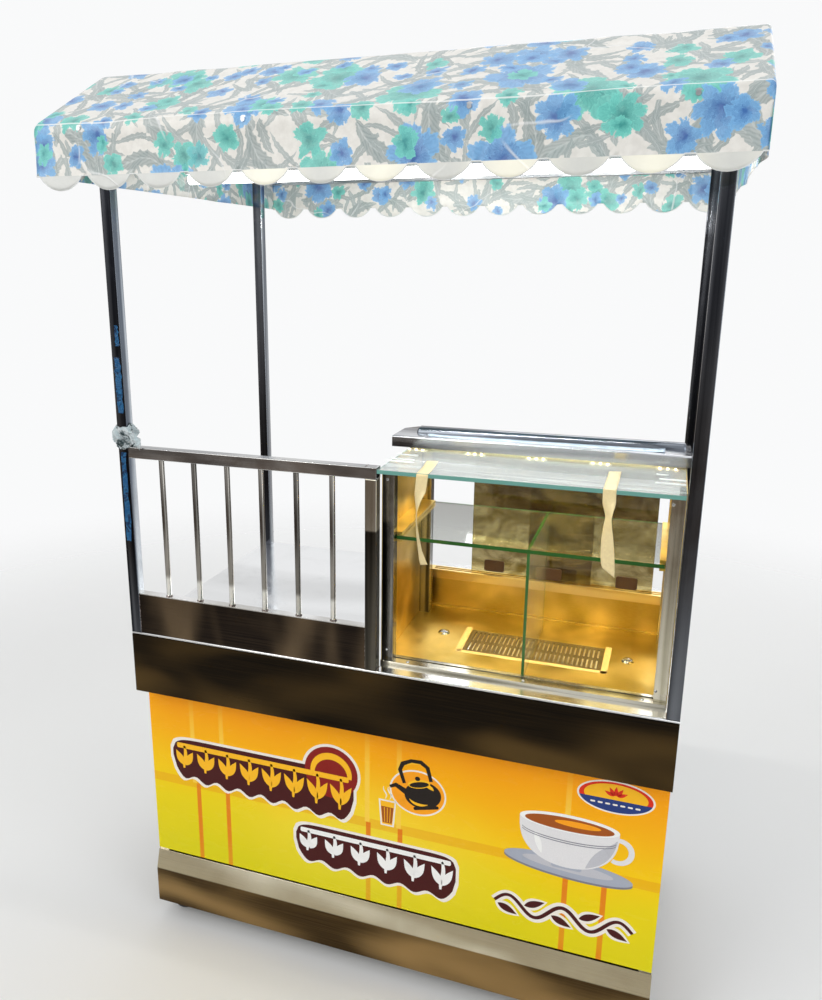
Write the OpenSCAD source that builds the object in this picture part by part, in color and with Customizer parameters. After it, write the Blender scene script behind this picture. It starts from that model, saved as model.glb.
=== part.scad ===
// Push vending cart: a stainless counter on casters, with a railing, a lit glass
// display case with sliding doors, and a fabric canopy on four posts.
// The cart stands on the floor at z = 0, +X is its right and its front looks to -Y.

/* [Counter] */
// Width of the counter, left to right
counter_w = 1220; // [1200:5:1240]
// Depth of the counter, front to back
counter_d = 712; // [700:2:760]
// Height of the countertop above the floor
counter_h = 820; // [800:5:860]
// Height of the band under the countertop
fascia_h = 153; // [130:1:170]
// Thickness of the countertop
top_t = 6; // [4:1:8]
// Distance of the cabinet front behind the band
panel_setback = 46; // [44:1:50]
// Height of the mid shelf in the cabinet
shelf_h = 400; // [300:5:480]

/* [Tubes and sheet] */
// Side of the square tube of posts, rails and legs
tube = 25; // [24:0.5:26]
// Wall thickness of the square tubes
tube_wall = 1.5; // [1.2:0.1:2]
// Thickness of the steel sheet
sheet = 1.5; // [1.2:0.1:1.5]
// Side of the square tube of the canopy frame
canopy_tube = 20; // [18:1:20]

/* [Plinth] */
// Gap between the plinth and the floor
plinth_gap = 48; // [40:1:60]
// Height of the fold where the plinth starts to slope back
plinth_fold = 145; // [135:1:150]
// Height of the top of the plinth
plinth_top = 192; // [185:1:195]
// Distance of the plinth face behind the band
plinth_setback = 31; // [28:1:34]

/* [Railing] */
// Height of the railing above the countertop
rail_h = 445; // [400:5:480]
// Height of the kick panel under the bars
kick_h = 97.5; // [80:0.5:110]
// Place of the right railing post, from the left face of the counter
rail_post_x = 583; // [570:1:584]
// Diameter of a railing bar
bar_d = 12; // [10:1:14]
// Number of railing bars
bar_count = 6; // [4:1:6]
// Distance from one railing bar to the next
bar_pitch = 81.3; // [60:0.1:90]

/* [Display case] */
// Left face of the case, from the left face of the counter
case_left = 603; // [600:1:605]
// Distance of the case front behind the band
case_setback = 50; // [48:1:52]
// Height of the case walls
case_h = 433; // [425:1:440]
// Height of the glass shelf above the countertop
glass_shelf_h = 286; // [270:1:300]
// Thickness of the top and shelf glass
glass_t = 8; // [6:1:8]
// Thickness of a sliding glass door
pane_t = 5; // [4:0.5:5]
// Width of a sliding glass door
pane_w = 290; // [285:1:300]
// Place of the middle glass wall, from the left face of the counter
divider_x = 904; // [850:1:950]

/* [Canopy] */
// Overhang of the canopy past the counter at the front
canopy_front = 142; // [130:1:160]
// Overhang of the canopy past the counter at the back
canopy_rear = 171; // [150:1:180]
// Overhang of the canopy past the counter at each side
canopy_side = 32; // [30:1:40]
// Height of the eaves above the floor
eave_h = 1912; // [1880:2:1960]
// Height of the flat top of the canopy above the floor
crown_h = 2038; // [2000:2:2060]
// Depth of the sloping part of the roof
slope_d = 224; // [200:2:240]
// Height of a valance, from the eave to its lowest point
valance_h = 120; // [110:1:130]
// Depth of the scallops along the valance
scallop_h = 26; // [20:1:30]
// Number of scallops along the front
scallops = 12; // [8:1:14]
// Height of the straight side valances
side_valance_h = 93; // [80:1:110]
// Thickness of the canopy fabric
fabric_t = 2; // [1.5:0.5:2]

/* [Casters] */
// Diameter of a caster wheel
wheel_d = 75; // [74:1:75]
// Width of the wheel's tread
wheel_w = 24; // [20:1:25]
// Distance of the axle behind the swivel axis
trail = 28; // [26:1:28]
// Height of a caster
caster_h = 100; // [100:1:102]

/* [Hidden] */

$fn = 48;
steel = "silver";
dark_steel = "dimgray";
gap = 0.2;
mil = 0.01;

// Faces of the counter and the cabinet. The origin is under the middle of the canopy.
canopy_d = canopy_front + counter_d + canopy_rear;
canopy_w = counter_w + 2 * canopy_side;
left_x = -counter_w / 2;
right_x = counter_w / 2;
front_y = -canopy_d / 2 + canopy_front;
back_y = front_y + counter_d;
fascia_z = counter_h - fascia_h;
panel_y = front_y + panel_setback;
panel_t = 3;
panel_z = plinth_top + 5;
cabinet_y = panel_y + panel_t;
cabinet_back = back_y - 20;
cabinet_x = right_x - 3.5;
leg_x = cabinet_x - tube;
deck_z = caster_h + tube;

// Canopy
eave_tube_z = eave_h - 6 - canopy_tube;
frame_x = canopy_w / 2 - fabric_t - 0.5;
frame_y = canopy_d / 2 - fabric_t - 0.5;
slope_angle = atan2(crown_h - eave_h, slope_d);
slope_length = norm([crown_h - eave_h, slope_d]);
crown_y = canopy_d / 2 - slope_d;
scallop_pitch = canopy_w / scallops;
rafter_x = [-frame_x, -220, 200, frame_x - canopy_tube];
tie_z = eave_h - 62;

// Display case, in places measured along the counter and heights above it
case_x = left_x + case_left;
case_end = right_x - tube;
case_y = front_y + case_setback;
case_back = front_y + 428;
sill_h = 8;
post_y = front_y + 341;
inner_x = case_x + sheet;
inner_end = case_end - sheet;
bay_x = inner_x + tube;
bay_end = inner_end - tube;
wall_y = front_y + 403;
track_y = front_y + 392;
track_d = 32;
track_z = counter_h + 76;
track_h = 22;
groove_w = 6;
groove_front = track_y + 8;
groove_rear = track_y + 19;
groove_h = 8;
upper_track_z = counter_h + 425;
upper_track_h = 20;
upper_groove_h = 12;
pane_z = track_z + track_h - groove_h + 0.5;
pane_h = upper_track_z + upper_groove_h - 1 - pane_z;
pane_left_x = left_x + 718;
pane_right_x = left_x + 858;
pull_w = 49;
pull_h = 29;
pull_t = 4;
pull_inset = 33;
pull_z = counter_h + 104;
hood_x = left_x + 571;
hood_end = left_x + 1200;
hood_y = front_y + 213;
hood_ridge = front_y + 310;
hood_z = counter_h + 469;
hood_back_z = counter_h + 452;
lip_z = counter_h + 445;
top_glass_z = counter_h + case_h;
glass_back = front_y + 258;
grille_x = left_x + 757;
grille_w = 303;
grille_y = front_y + 160;
grille_d = 115;
floor_t = 2;
led_y = front_y + 254;
led_pitch = 136;
led_count = 5;

// Casters: place and heading of each one. At heading 0 the wheel trails to the front.
caster_inset_front = 74;
caster_inset_rear = 88;
caster_fl = [left_x + caster_inset_front, front_y + 108, -45];
caster_fr = [right_x - caster_inset_front, front_y + 108, -20];
caster_rl = [left_x + caster_inset_rear, cabinet_back - 88, 180];
caster_rr = [right_x - caster_inset_rear, cabinet_back - 88, 165];
axle_z = wheel_d / 2;
axle_r = 4;
kingpin_r = 6;
running_gap = 0.06;
fork_gap = 30;
fork_t = 3;
pedal_y = 24;
pedal_z = 38;
pedal_pin_r = 2.5;

// Rear doors
door_gap = 1;
door_t = 18;
door_z = deck_z + 5;
door_top = fascia_z - 4;
door_w = leg_x - 2 * door_gap;
hinge_x = leg_x - door_gap / 2;
hinge_y = cabinet_back + 5;
hinge_r = 5;
hinge_pin_r = 2.5;
hinge_h = 60;
knuckle_h = hinge_h / 3;
leaf_w = 24;
hinge_heights = [200, 550];
handle_x = 45;
handle_z = 380;
handle_h = 130;
handle_r = 5;
handle_reach = 32;

// Switch box with two rockers on the back of the band
box_x = 420;
box_w = 90;
box_z = 706;
box_h = 74;
box_d = 22;
rocker_w = 23;
rocker_h = 41;
rocker_angle = 6;
rocker_pin_y = 14;
rocker_pin_r = 1.5;
rocker_places = [box_x + 26, box_x + 64];

// Basic shapes

// A block between two values on each axis
module block(x0, x1, y0, y1, z0, z1) {
    translate([x0, y0, z0]) cube([x1 - x0, y1 - y0, z1 - z0]);
}

// Hollow square tubes, open at both ends, along each axis
module tube_x(x0, x1, y, z, side = tube) {
    difference() {
        block(x0, x1, y, y + side, z, z + side);
        block(x0 - 1, x1 + 1, y + tube_wall, y + side - tube_wall, z + tube_wall, z + side - tube_wall);
    }
}

module tube_y(x, y0, y1, z, side = tube) {
    difference() {
        block(x, x + side, y0, y1, z, z + side);
        block(x + tube_wall, x + side - tube_wall, y0 - 1, y1 + 1, z + tube_wall, z + side - tube_wall);
    }
}

module tube_z(x, y, z0, z1, side = tube) {
    difference() {
        block(x, x + side, y, y + side, z0, z1);
        block(x + tube_wall, x + side - tube_wall, y + tube_wall, y + side - tube_wall, z0 - 1, z1 + 1);
    }
}

// Extrudes an outline drawn in Y and Z along X
module along_x(x0, x1) {
    translate([x0, 0, 0]) rotate([90, 0, 90]) linear_extrude(x1 - x0) children();
}

// A cylinder along X, centred on x
module rod_x(x, y, z, r, length) {
    translate([x - length / 2, y, z]) rotate([0, 90, 0]) cylinder(r = r, h = length);
}

module both_sides() {
    children();
    mirror([1, 0, 0]) children();
}

// Counter and cabinet

module countertop() color(steel) along_x(left_x, right_x) {
    translate([front_y + top_t / 2, counter_h - top_t]) square([counter_d - top_t / 2, top_t]);
    translate([front_y + top_t / 2, counter_h - top_t / 2]) circle(d = top_t);
}

module fascia_front() color(dark_steel) {
    block(left_x, right_x, front_y, front_y + sheet, fascia_z, counter_h - top_t);
    end_x = right_x - sheet - gap;
    block(-end_x, end_x, front_y + sheet - mil, cabinet_y, fascia_z, fascia_z + sheet);
}

module fascia_band() color(dark_steel) {
    both_sides() block(
        right_x - sheet, right_x, front_y + sheet + gap, back_y - sheet - gap, fascia_z, counter_h - top_t
    );
    block(left_x, right_x, back_y - sheet, back_y, fascia_z, counter_h - top_t);
    block(-leg_x, leg_x, cabinet_back - tube, back_y - sheet + mil, fascia_z, fascia_z + sheet);
}

module cabinet_legs() color(steel) both_sides() {
    tube_z(leg_x, cabinet_y, deck_z, counter_h - top_t);
    tube_z(leg_x, cabinet_back - tube, deck_z, counter_h - top_t);
}

module base_frame() color(steel) {
    tube_x(-cabinet_x, cabinet_x, cabinet_y, caster_h);
    tube_x(-cabinet_x, cabinet_x, cabinet_back - tube, caster_h);
    cross_y = cabinet_y + tube + gap;
    cross_end = cabinet_back - tube - gap;
    both_sides() tube_y(leg_x, cross_y, cross_end, caster_h);
    both_sides() tube_y(right_x - caster_inset_rear - tube / 4, cross_y, cross_end, caster_h);
    tube_y(-tube / 2, cross_y, cross_end, caster_h);
}

module front_panel() color("gold") {
    block(-right_x + 2, right_x - 2, panel_y, cabinet_y, panel_z, fascia_z);
}

module side_panels() color(steel) both_sides() {
    block(cabinet_x, cabinet_x + sheet, cabinet_y + gap, cabinet_back, panel_z, fascia_z);
}

module plinth_front() color("tan") along_x(left_x + 1, right_x - 1) {
    y = front_y + plinth_setback;
    polygon([
        [y, plinth_gap], [y + sheet, plinth_gap], [y + sheet, plinth_fold],
        [panel_y + sheet, plinth_top - sheet], [cabinet_y, plinth_top - sheet],
        [cabinet_y, plinth_top], [panel_y, plinth_top], [y, plinth_fold],
    ]);
}

module plinth_sides() color("tan") both_sides() along_x(cabinet_x, cabinet_x + sheet) {
    y = front_y + plinth_setback + sheet + gap;
    polygon([
        [y, plinth_gap], [cabinet_back, plinth_gap], [cabinet_back, panel_z - gap],
        [cabinet_y + gap, panel_z - gap], [cabinet_y + gap, plinth_top - sheet - gap],
        [panel_y + sheet + gap, plinth_top - sheet - gap], [y, plinth_fold],
    ]);
}

module bottom_deck() color(steel) {
    block(-leg_x, leg_x, cabinet_y, cabinet_back, deck_z, deck_z + sheet);
}

module cabinet_shelf() color(steel) {
    y0 = cabinet_y + tube + 1;
    y1 = cabinet_back - tube - 1;
    flange = 25;
    block(-cabinet_x, cabinet_x, y0, y1, shelf_h - sheet, shelf_h);
    block(-cabinet_x, cabinet_x, y0, y0 + sheet, shelf_h - flange, shelf_h - sheet + mil);
    block(-cabinet_x, cabinet_x, y1 - sheet, y1, shelf_h - flange, shelf_h - sheet + mil);
}

// Rear doors

// The fixed half of each hinge: a leaf, two knuckles and the pin
module door_hinges() color(dark_steel) both_sides() for (z = hinge_heights) {
    leaf_x = hinge_x + hinge_r + gap;
    block(leaf_x, leg_x + leaf_w, cabinet_back, cabinet_back + sheet, z, z + hinge_h);
    for (end = [z, z + 2 * knuckle_h + gap]) {
        translate([hinge_x, hinge_y, end]) cylinder(r = hinge_r, h = knuckle_h - gap);
        block(hinge_x, leaf_x + mil, cabinet_back, cabinet_back + sheet, end, end + knuckle_h - gap);
    }
    translate([hinge_x, hinge_y, z - 3]) cylinder(r = hinge_pin_r, h = hinge_h + 6);
}

// The door at +X: a folded pan with the moving halves of its hinges
module rear_door_shape() difference() {
    union() {
        difference() {
            block(door_gap, door_gap + door_w, cabinet_back - door_t, cabinet_back, door_z, door_top);
            block(
                door_gap + sheet, door_gap + door_w - sheet, cabinet_back - door_t - 1,
                cabinet_back - sheet, door_z + sheet, door_top - sheet
            );
        }
        for (z = hinge_heights) {
            leaf_end = hinge_x - hinge_r - gap;
            end = z + knuckle_h + gap;
            block(hinge_x - leaf_w, leaf_end, cabinet_back - mil, cabinet_back + sheet, z, z + hinge_h);
            block(leaf_end - mil, hinge_x, cabinet_back, cabinet_back + sheet, end, end + knuckle_h - 2 * gap);
            translate([hinge_x, hinge_y, end]) cylinder(r = hinge_r, h = knuckle_h - 2 * gap);
        }
    }
    for (z = hinge_heights) {
        translate([hinge_x, hinge_y, z - 4]) cylinder(r = hinge_pin_r + running_gap, h = hinge_h + 8);
    }
}

module rear_door_right() color(steel) rear_door_shape();

module rear_door_left() color(steel) mirror([1, 0, 0]) rear_door_shape();

// A bow handle on two round feet, near the free edge of the door
module door_handle_shape() {
    y = cabinet_back + handle_reach;
    for (z = [handle_z, handle_z + handle_h]) {
        translate([handle_x, cabinet_back, z]) rotate([-90, 0, 0]) {
            cylinder(r = handle_r, h = handle_reach);
            cylinder(r = handle_r + 4, h = 3);
        }
        translate([handle_x, y, z]) sphere(r = handle_r);
    }
    translate([handle_x, y, handle_z]) cylinder(r = handle_r, h = handle_h);
}

module door_handle_right() color("lightgray") door_handle_shape();

module door_handle_left() color("lightgray") mirror([1, 0, 0]) door_handle_shape();

// Casters

module at_caster(place) {
    translate([place[0], place[1], 0]) rotate([0, 0, place[2]]) children();
}

// Mounting plates with their bearing housings and bolt heads
module caster_plates() color("gray") for (place = [caster_fl, caster_fr, caster_rl, caster_rr]) {
    translate([place[0], place[1], 0]) {
        difference() {
            union() {
                translate([-47.5, -37.5, caster_h - 3]) cube([95, 75, 3]);
                translate([0, 0, caster_h - 11]) cylinder(r = 24, h = 8 + mil);
            }
            translate([0, 0, caster_h - 12]) cylinder(r = kingpin_r + running_gap, h = 13);
        }
        for (x = [-38, 38], y = [-27, 27]) {
            translate([x, y, caster_h - 8]) cylinder(r = 6.5, h = 5 + mil, $fn = 6);
        }
    }
}

// One fork leg, as an outline across the caster: from the crown down to the axle
module fork_leg_outline(pedal) {
    crown = caster_h - 12;
    translate([-trail, axle_z]) circle(r = 9);
    polygon([
        [-trail - 9, axle_z], [-trail + 8.5, axle_z - 3], [18, crown - 6], [18, crown], [-18, crown],
        [-trail - 8, axle_z + 28],
    ]);
    if (pedal) {
        polygon([
            [-trail - 8, axle_z + 20], [-18, crown], [-trail - pedal_y + 2, axle_z + pedal_z + 6],
            [-trail - pedal_y - 5, axle_z + pedal_z - 4],
        ]);
    }
}

module caster_fork(place, pedal) color("darkgray") at_caster(place) {
    for (x = [-fork_gap / 2 - fork_t, fork_gap / 2]) {
        along_x(x, x + fork_t) fork_leg_outline(pedal);
    }
    translate([0, 0, caster_h - 15]) cylinder(r = 22, h = 3.6);
    translate([0, 0, caster_h - 13]) cylinder(r = kingpin_r, h = 12.5);
    rod_x(0, -trail, axle_z, axle_r, fork_gap + 2 * fork_t + 10);
    for (x = [-1, 1]) rod_x(x * (fork_gap / 2 + fork_t + 3), -trail, axle_z, 7, 5);
    if (pedal) {
        rod_x(0, -trail - pedal_y, axle_z + pedal_z, pedal_pin_r, fork_gap + 2 * fork_t + 4);
    }
}

module caster_fork_fl() caster_fork(caster_fl, false);

module caster_fork_fr() caster_fork(caster_fr, false);

module caster_fork_rl() caster_fork(caster_rl, true);

module caster_fork_rr() caster_fork(caster_rr, true);

// A wheel with a rounded tread, a dished web and a bored hub
module caster_wheel(place) color("black") at_caster(place) {
    round_r = 5;
    hub_w = fork_gap - 2;
    translate([0, -trail, axle_z]) rotate([0, 90, 0]) rotate_extrude() {
        translate([wheel_d / 2 - 11, -wheel_w / 2]) square([11 - round_r, wheel_w]);
        translate([wheel_d / 2 - round_r - mil, -wheel_w / 2 + round_r]) {
            square([round_r + mil, wheel_w - 2 * round_r]);
        }
        for (y = [-1, 1]) {
            translate([wheel_d / 2 - round_r, y * (wheel_w / 2 - round_r)]) circle(r = round_r);
        }
        translate([9, -5]) square([wheel_d / 2 - 19, 10]);
        translate([axle_r + running_gap, -hub_w / 2]) square([7, hub_w]);
    }
}

module caster_wheel_fl() caster_wheel(caster_fl);

module caster_wheel_fr() caster_wheel(caster_fr);

module caster_wheel_rl() caster_wheel(caster_rl);

module caster_wheel_rr() caster_wheel(caster_rr);

// A foot pedal whose shoe swings onto the tread
module brake_pedal(place) color("firebrick") at_caster(place) {
    boss_w = fork_gap - 2;
    shoe_r = 7;
    shoe_angle = 282;
    lever_angle = 165;
    translate([0, -trail - pedal_y, axle_z + pedal_z]) along_x(-boss_w / 2, boss_w / 2) difference() {
        union() {
            circle(r = 5);
            rotate(shoe_angle) translate([0, -2]) square([shoe_r, 4]);
            rotate(lever_angle) translate([2, -3]) square([24, 3]);
        }
        circle(r = pedal_pin_r + running_gap);
    }
}

module brake_pedal_rl() brake_pedal(caster_rl);

module brake_pedal_rr() brake_pedal(caster_rr);

// Posts and railing

module corner_posts() color(dark_steel) both_sides() {
    tube_z(right_x - tube, front_y, counter_h, eave_tube_z);
    tube_z(right_x - tube, back_y - tube, counter_h, eave_tube_z);
}

module rail_top() color(steel) {
    tube_x(left_x + tube, left_x + rail_post_x + tube, front_y, counter_h + rail_h - tube);
}

module rail_post() color(dark_steel) {
    tube_z(left_x + rail_post_x, front_y, counter_h, counter_h + rail_h - tube);
}

module rail_bars() color(steel) {
    first = (tube + rail_post_x - (bar_count - 1) * bar_pitch) / 2;
    for (i = [0 : bar_count - 1]) {
        translate([left_x + first + i * bar_pitch, front_y + tube / 2, counter_h + kick_h]) {
            cylinder(d = bar_d, h = rail_h - tube - kick_h);
        }
    }
}

module kick_panel() color(dark_steel) along_x(left_x + tube, left_x + rail_post_x) {
    y = front_y + 3;
    flange_d = 20;
    translate([y, counter_h]) square([sheet, kick_h]);
    translate([y, counter_h + kick_h - sheet]) square([flange_d, sheet]);
    translate([y + flange_d - sheet, counter_h + kick_h - 12]) square([sheet, 12]);
}

// Canopy

// A sloping roof tube at x, for the front half
module rafter(x) {
    inset = 5;
    translate([x, -canopy_d / 2, eave_h]) rotate([slope_angle, 0, 0]) {
        length = slope_length - 36;
        translate([0, 24, -inset - canopy_tube]) tube_y(0, 0, length, 0, canopy_tube);
    }
}

module canopy_frame() color("gray") {
    crown_z = crown_h - fabric_t - 2 - canopy_tube;
    rail_y = crown_y - 5 - canopy_tube;
    side_end = frame_y - canopy_tube - gap;
    for (y = [-frame_y, frame_y - canopy_tube]) tube_x(-frame_x, frame_x, y, eave_tube_z, canopy_tube);
    both_sides() {
        tube_y(frame_x - canopy_tube, -side_end, side_end, eave_tube_z, canopy_tube);
        tube_y(right_x - tube / 2 - canopy_tube / 2, -side_end, side_end, eave_tube_z, canopy_tube);
    }
    for (y = [-crown_y + 5, rail_y]) tube_x(-frame_x, frame_x, y, crown_z, canopy_tube);
    for (x = rafter_x) {
        rafter(x);
        mirror([0, 1, 0]) rafter(x);
        tube_y(x, -rail_y + gap, rail_y - gap, crown_z, canopy_tube);
    }
    tube_x(-right_x + tube + gap, right_x - tube - gap, front_y, tie_z);
}

// Outline of the canopy seen from the side, without the valance
module roof_outline(inset) {
    y = canopy_d / 2 - inset;
    crown = crown_y - inset * tan(slope_angle / 2);
    z = crown_h - inset;
    eave_z = z - (y - crown) * tan(slope_angle);
    polygon([[-y, eave_z], [-crown, z], [crown, z], [y, eave_z], [y, eave_z - 40], [-y, eave_z - 40]]);
}

module canopy_roof() color("lightblue") {
    difference() {
        along_x(-canopy_w / 2, canopy_w / 2) roof_outline(0);
        along_x(-canopy_w, canopy_w) roof_outline(fabric_t);
        block(-canopy_w, canopy_w, -canopy_d, canopy_d, 0, eave_h);
    }
}

// A flat valance with round scallops along its bottom edge
module valance() {
    r = scallop_pitch / 2;
    notch = valance_h - scallop_h;
    rotate([90, 0, 0]) linear_extrude(fabric_t) intersection() {
        union() {
            translate([-canopy_w / 2, -notch]) square([canopy_w, notch - gap]);
            for (i = [0 : scallops - 1]) {
                translate([-canopy_w / 2 + (i + 0.5) * scallop_pitch, -valance_h + r]) circle(r = r);
            }
        }
        translate([-canopy_w / 2, -valance_h]) square([canopy_w, valance_h - gap]);
    }
}

module canopy_valance_front() color("lightblue") {
    translate([0, -canopy_d / 2 + fabric_t, eave_h]) valance();
}

module canopy_valance_rear() color("lightblue") translate([0, canopy_d / 2, eave_h]) valance();

// The two ends: a straight side valance below the eave and the gable above it
module canopy_sides() color("lightblue") both_sides() {
    y = canopy_d / 2 - fabric_t - gap;
    inset = fabric_t + gap;
    along_x(canopy_w / 2 - fabric_t, canopy_w / 2) {
        difference() {
            roof_outline(inset);
            translate([-canopy_d, eave_h - side_valance_h]) square([2 * canopy_d, side_valance_h]);
        }
        translate([-y, eave_h - side_valance_h]) square([2 * y, side_valance_h + mil]);
    }
}

// Washer-headed screws that hold the fabric to the front and rear rails
module canopy_screws() color("silver") for (side = [0, 1], place = [70, 411, 810, 1149]) {
    mirror([0, side, 0]) translate([left_x + place, -canopy_d / 2, eave_h - 12]) rotate([90, 0, 0]) {
        cylinder(r = 7, h = 1.2);
        cylinder(r = 4, h = 3.5);
    }
}

module light_batten() color("white") {
    block(-408, right_x - tube - 3, front_y + 2, front_y + 23, tie_z - 20, tie_z);
}

module light_tube() color("lightyellow") {
    tube_r = 9.5;
    length = right_x - tube - 9 + 402;
    rod_x(-402 + length / 2, front_y + 12.5, tie_z - 20 - tube_r, tube_r, length);
}

// Display case

// The rail that the front posts stand on, with a glazing groove
module case_sill() color(steel) difference() {
    block(inner_x, inner_end, front_y + 40, front_y + 76, counter_h, counter_h + sill_h);
    block(bay_x, bay_end, front_y + 60, front_y + 66, counter_h + sill_h - 5, counter_h + sill_h + 1);
}

module case_posts() color(steel) {
    for (x = [inner_x, bay_end]) {
        tube_z(x, case_y, counter_h + sill_h, top_glass_z);
        tube_z(x, post_y, counter_h, top_glass_z);
    }
}

module case_floor() color("goldenrod") difference() {
    block(inner_x, inner_end, front_y + 76 + gap, wall_y - 12 - gap, counter_h, counter_h + floor_t);
    for (x = [inner_x, bay_end]) {
        block(x - gap, x + tube + gap, post_y - gap, post_y + tube + gap, counter_h - 1, counter_h + 5);
    }
    block(grille_x, grille_x + grille_w, grille_y, grille_y + grille_d, counter_h - 1, counter_h + 5);
}

module floor_grille() color("peru") translate([grille_x + gap, grille_y + gap, counter_h]) {
    slot_w = 4;
    slot_d = 46;
    linear_extrude(floor_t) difference() {
        square([grille_w - 2 * gap, grille_d - 2 * gap]);
        for (x = [9 : 10 : grille_w - 10], y = [8, 60]) translate([x, y]) square([slot_w, slot_d]);
    }
}

// A side wall: low under the top glass, higher under the hood, with a shelf channel inside
module case_side(x, inward) {
    raised_y = front_y + 270;
    channel_w = 36;
    channel_x = inward > 0 ? x + sheet - mil : x - channel_w + mil;
    shelf_z = counter_h + glass_shelf_h;
    along_x(x, x + sheet) polygon([
        [case_y, counter_h], [case_back - sheet - gap, counter_h],
        [case_back - sheet - gap, hood_back_z - 3], [hood_ridge, hood_z - 3],
        [raised_y, hood_z - 3], [raised_y, top_glass_z], [case_y, top_glass_z],
    ]);
    difference() {
        block(
            channel_x, channel_x + channel_w, case_y + tube + gap, post_y - gap,
            shelf_z - glass_t - 8, shelf_z + 6
        );
        block(
            bay_x + 0.5, bay_end - 0.5, case_y, post_y + 5,
            shelf_z - glass_t - 0.3, shelf_z + 0.3
        );
    }
}

module case_sides() color("goldenrod") {
    case_side(case_x, 1);
    case_side(case_end - sheet, -1);
}

module case_back_wall() color("goldenrod") {
    block(inner_x, inner_end, wall_y, wall_y + sheet, counter_h, track_z);
    block(inner_x, inner_end, wall_y - 12, wall_y + mil, counter_h, counter_h + 5);
}

// Double tracks for the sliding doors, below and above, with closed ends
module door_tracks() color("silver") {
    stop = 21;
    difference() {
        block(inner_x, inner_end, track_y, track_y + track_d, track_z, track_z + track_h);
        for (y = [groove_front, groove_rear]) {
            block(
                inner_x + stop, inner_end - stop, y, y + groove_w,
                track_z + track_h - groove_h, track_z + track_h + 1
            );
        }
    }
    difference() {
        block(inner_x, inner_end, track_y, track_y + track_d, upper_track_z, upper_track_z + upper_track_h);
        for (y = [groove_front, groove_rear]) {
            block(
                inner_x + stop, inner_end - stop, y, y + groove_w,
                upper_track_z - 1, upper_track_z + upper_groove_h
            );
        }
    }
}

module glass_top() color("paleturquoise", 0.5) {
    x = left_x + rail_post_x + tube + 0.5;
    block(x, case_end - 3, front_y + 1, glass_back, top_glass_z, top_glass_z + glass_t);
}

module glass_shelf() color("paleturquoise", 0.5) {
    z = counter_h + glass_shelf_h;
    block(bay_x + 1, bay_end - 1, front_y + 67, front_y + 353, z - glass_t, z);
}

module glass_divider() color("paleturquoise", 0.5) {
    x = left_x + divider_x;
    block(x, x + 6, front_y + 77, front_y + 350, counter_h + floor_t, counter_h + glass_shelf_h - glass_t);
}

module glass_pane(x, y) color("paleturquoise", 0.5) {
    block(x, x + pane_w, y, y + pane_t, pane_z, pane_z + pane_h);
}

module glass_door_left() glass_pane(pane_left_x, groove_rear + (groove_w - pane_t) / 2);

module glass_door_right() glass_pane(pane_right_x, groove_front + (groove_w - pane_t) / 2);

// Finger pulls with rounded corners, stuck on the case side of a pane
module glass_pulls(x, y) color("saddlebrown") {
    r = 5;
    for (offset = [pull_inset, pane_w - pull_inset - pull_w]) {
        translate([x + offset, y, pull_z]) rotate([90, 0, 0]) linear_extrude(pull_t) {
            translate([r, 0]) square([pull_w - 2 * r, pull_h]);
            translate([0, r]) square([pull_w, pull_h - 2 * r]);
            for (u = [r, pull_w - r], v = [r, pull_h - r]) translate([u, v]) circle(r = r);
        }
    }
}

module glass_pulls_left() glass_pulls(pane_left_x, groove_rear + (groove_w - pane_t) / 2);

module glass_pulls_right() glass_pulls(pane_right_x, groove_front + (groove_w - pane_t) / 2);

// The hood over the back of the case: a folded cap with a front lip and closed ends
module hood_outline(inset) {
    r = 3;
    y = hood_y + inset;
    z = hood_z - inset;
    translate([y + r, z - r]) circle(r = r);
    polygon([
        [y, lip_z - 2 * inset], [y, z - r], [y + r, z], [hood_ridge, z],
        [case_back - inset, hood_back_z - inset], [case_back - inset, counter_h + 436 - 2 * inset],
    ]);
}

module hood() color(dark_steel) {
    along_x(hood_x, hood_end) difference() {
        hood_outline(0);
        hood_outline(sheet);
    }
    for (x = [hood_x, hood_end - sheet]) along_x(x, x + sheet) hood_outline(0);
}

// A light bar under the hood, with modules of three lamps
module led_bar() color("white") {
    depth = 14;
    bar_z = hood_z - sheet - 10;
    middle = (hood_x + hood_end) / 2;
    block(hood_x + 10, hood_end - 10, led_y, led_y + depth, bar_z, hood_z - sheet);
    for (i = [0 : led_count - 1]) {
        x = middle + (i - (led_count - 1) / 2) * led_pitch;
        block(x - 23, x + 23, led_y, led_y + depth, bar_z - 5, bar_z + mil);
    }
}

// Electrical pieces on the back of the band

module switch_box() color("white") {
    difference() {
        block(box_x, box_x + box_w, back_y, back_y + box_d, box_z, box_z + box_h);
        for (x = rocker_places) {
            block(
                x - rocker_w / 2 - 0.5, x + rocker_w / 2 + 0.5, back_y + 6, back_y + box_d + 1,
                box_z + box_h / 2 - 22, box_z + box_h / 2 + 22
            );
        }
    }
    for (x = rocker_places) {
        rod_x(x, back_y + rocker_pin_y, box_z + box_h / 2, rocker_pin_r, rocker_w + 2);
    }
    translate([box_x + box_w / 2, back_y + box_d / 2, box_z - 12]) difference() {
        cylinder(r = 8, h = 12 + mil);
        translate([0, 0, -1]) cylinder(r = 4, h = 10);
    }
}

module rocker(x) translate([x, back_y + rocker_pin_y, box_z + box_h / 2]) rotate([rocker_angle, 0, 0]) {
    difference() {
        along_x(-rocker_w / 2, rocker_w / 2) polygon([
            [-3, -rocker_h / 2], [6.5, -rocker_h / 2], [5, 0], [6.5, rocker_h / 2], [-3, rocker_h / 2],
        ]);
        rod_x(0, 0, 0, rocker_pin_r + running_gap, rocker_w + 2);
    }
}

module rocker_canopy() color("whitesmoke") rocker(rocker_places[0]);

module rocker_display() color("whitesmoke") rocker(rocker_places[1]);

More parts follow.
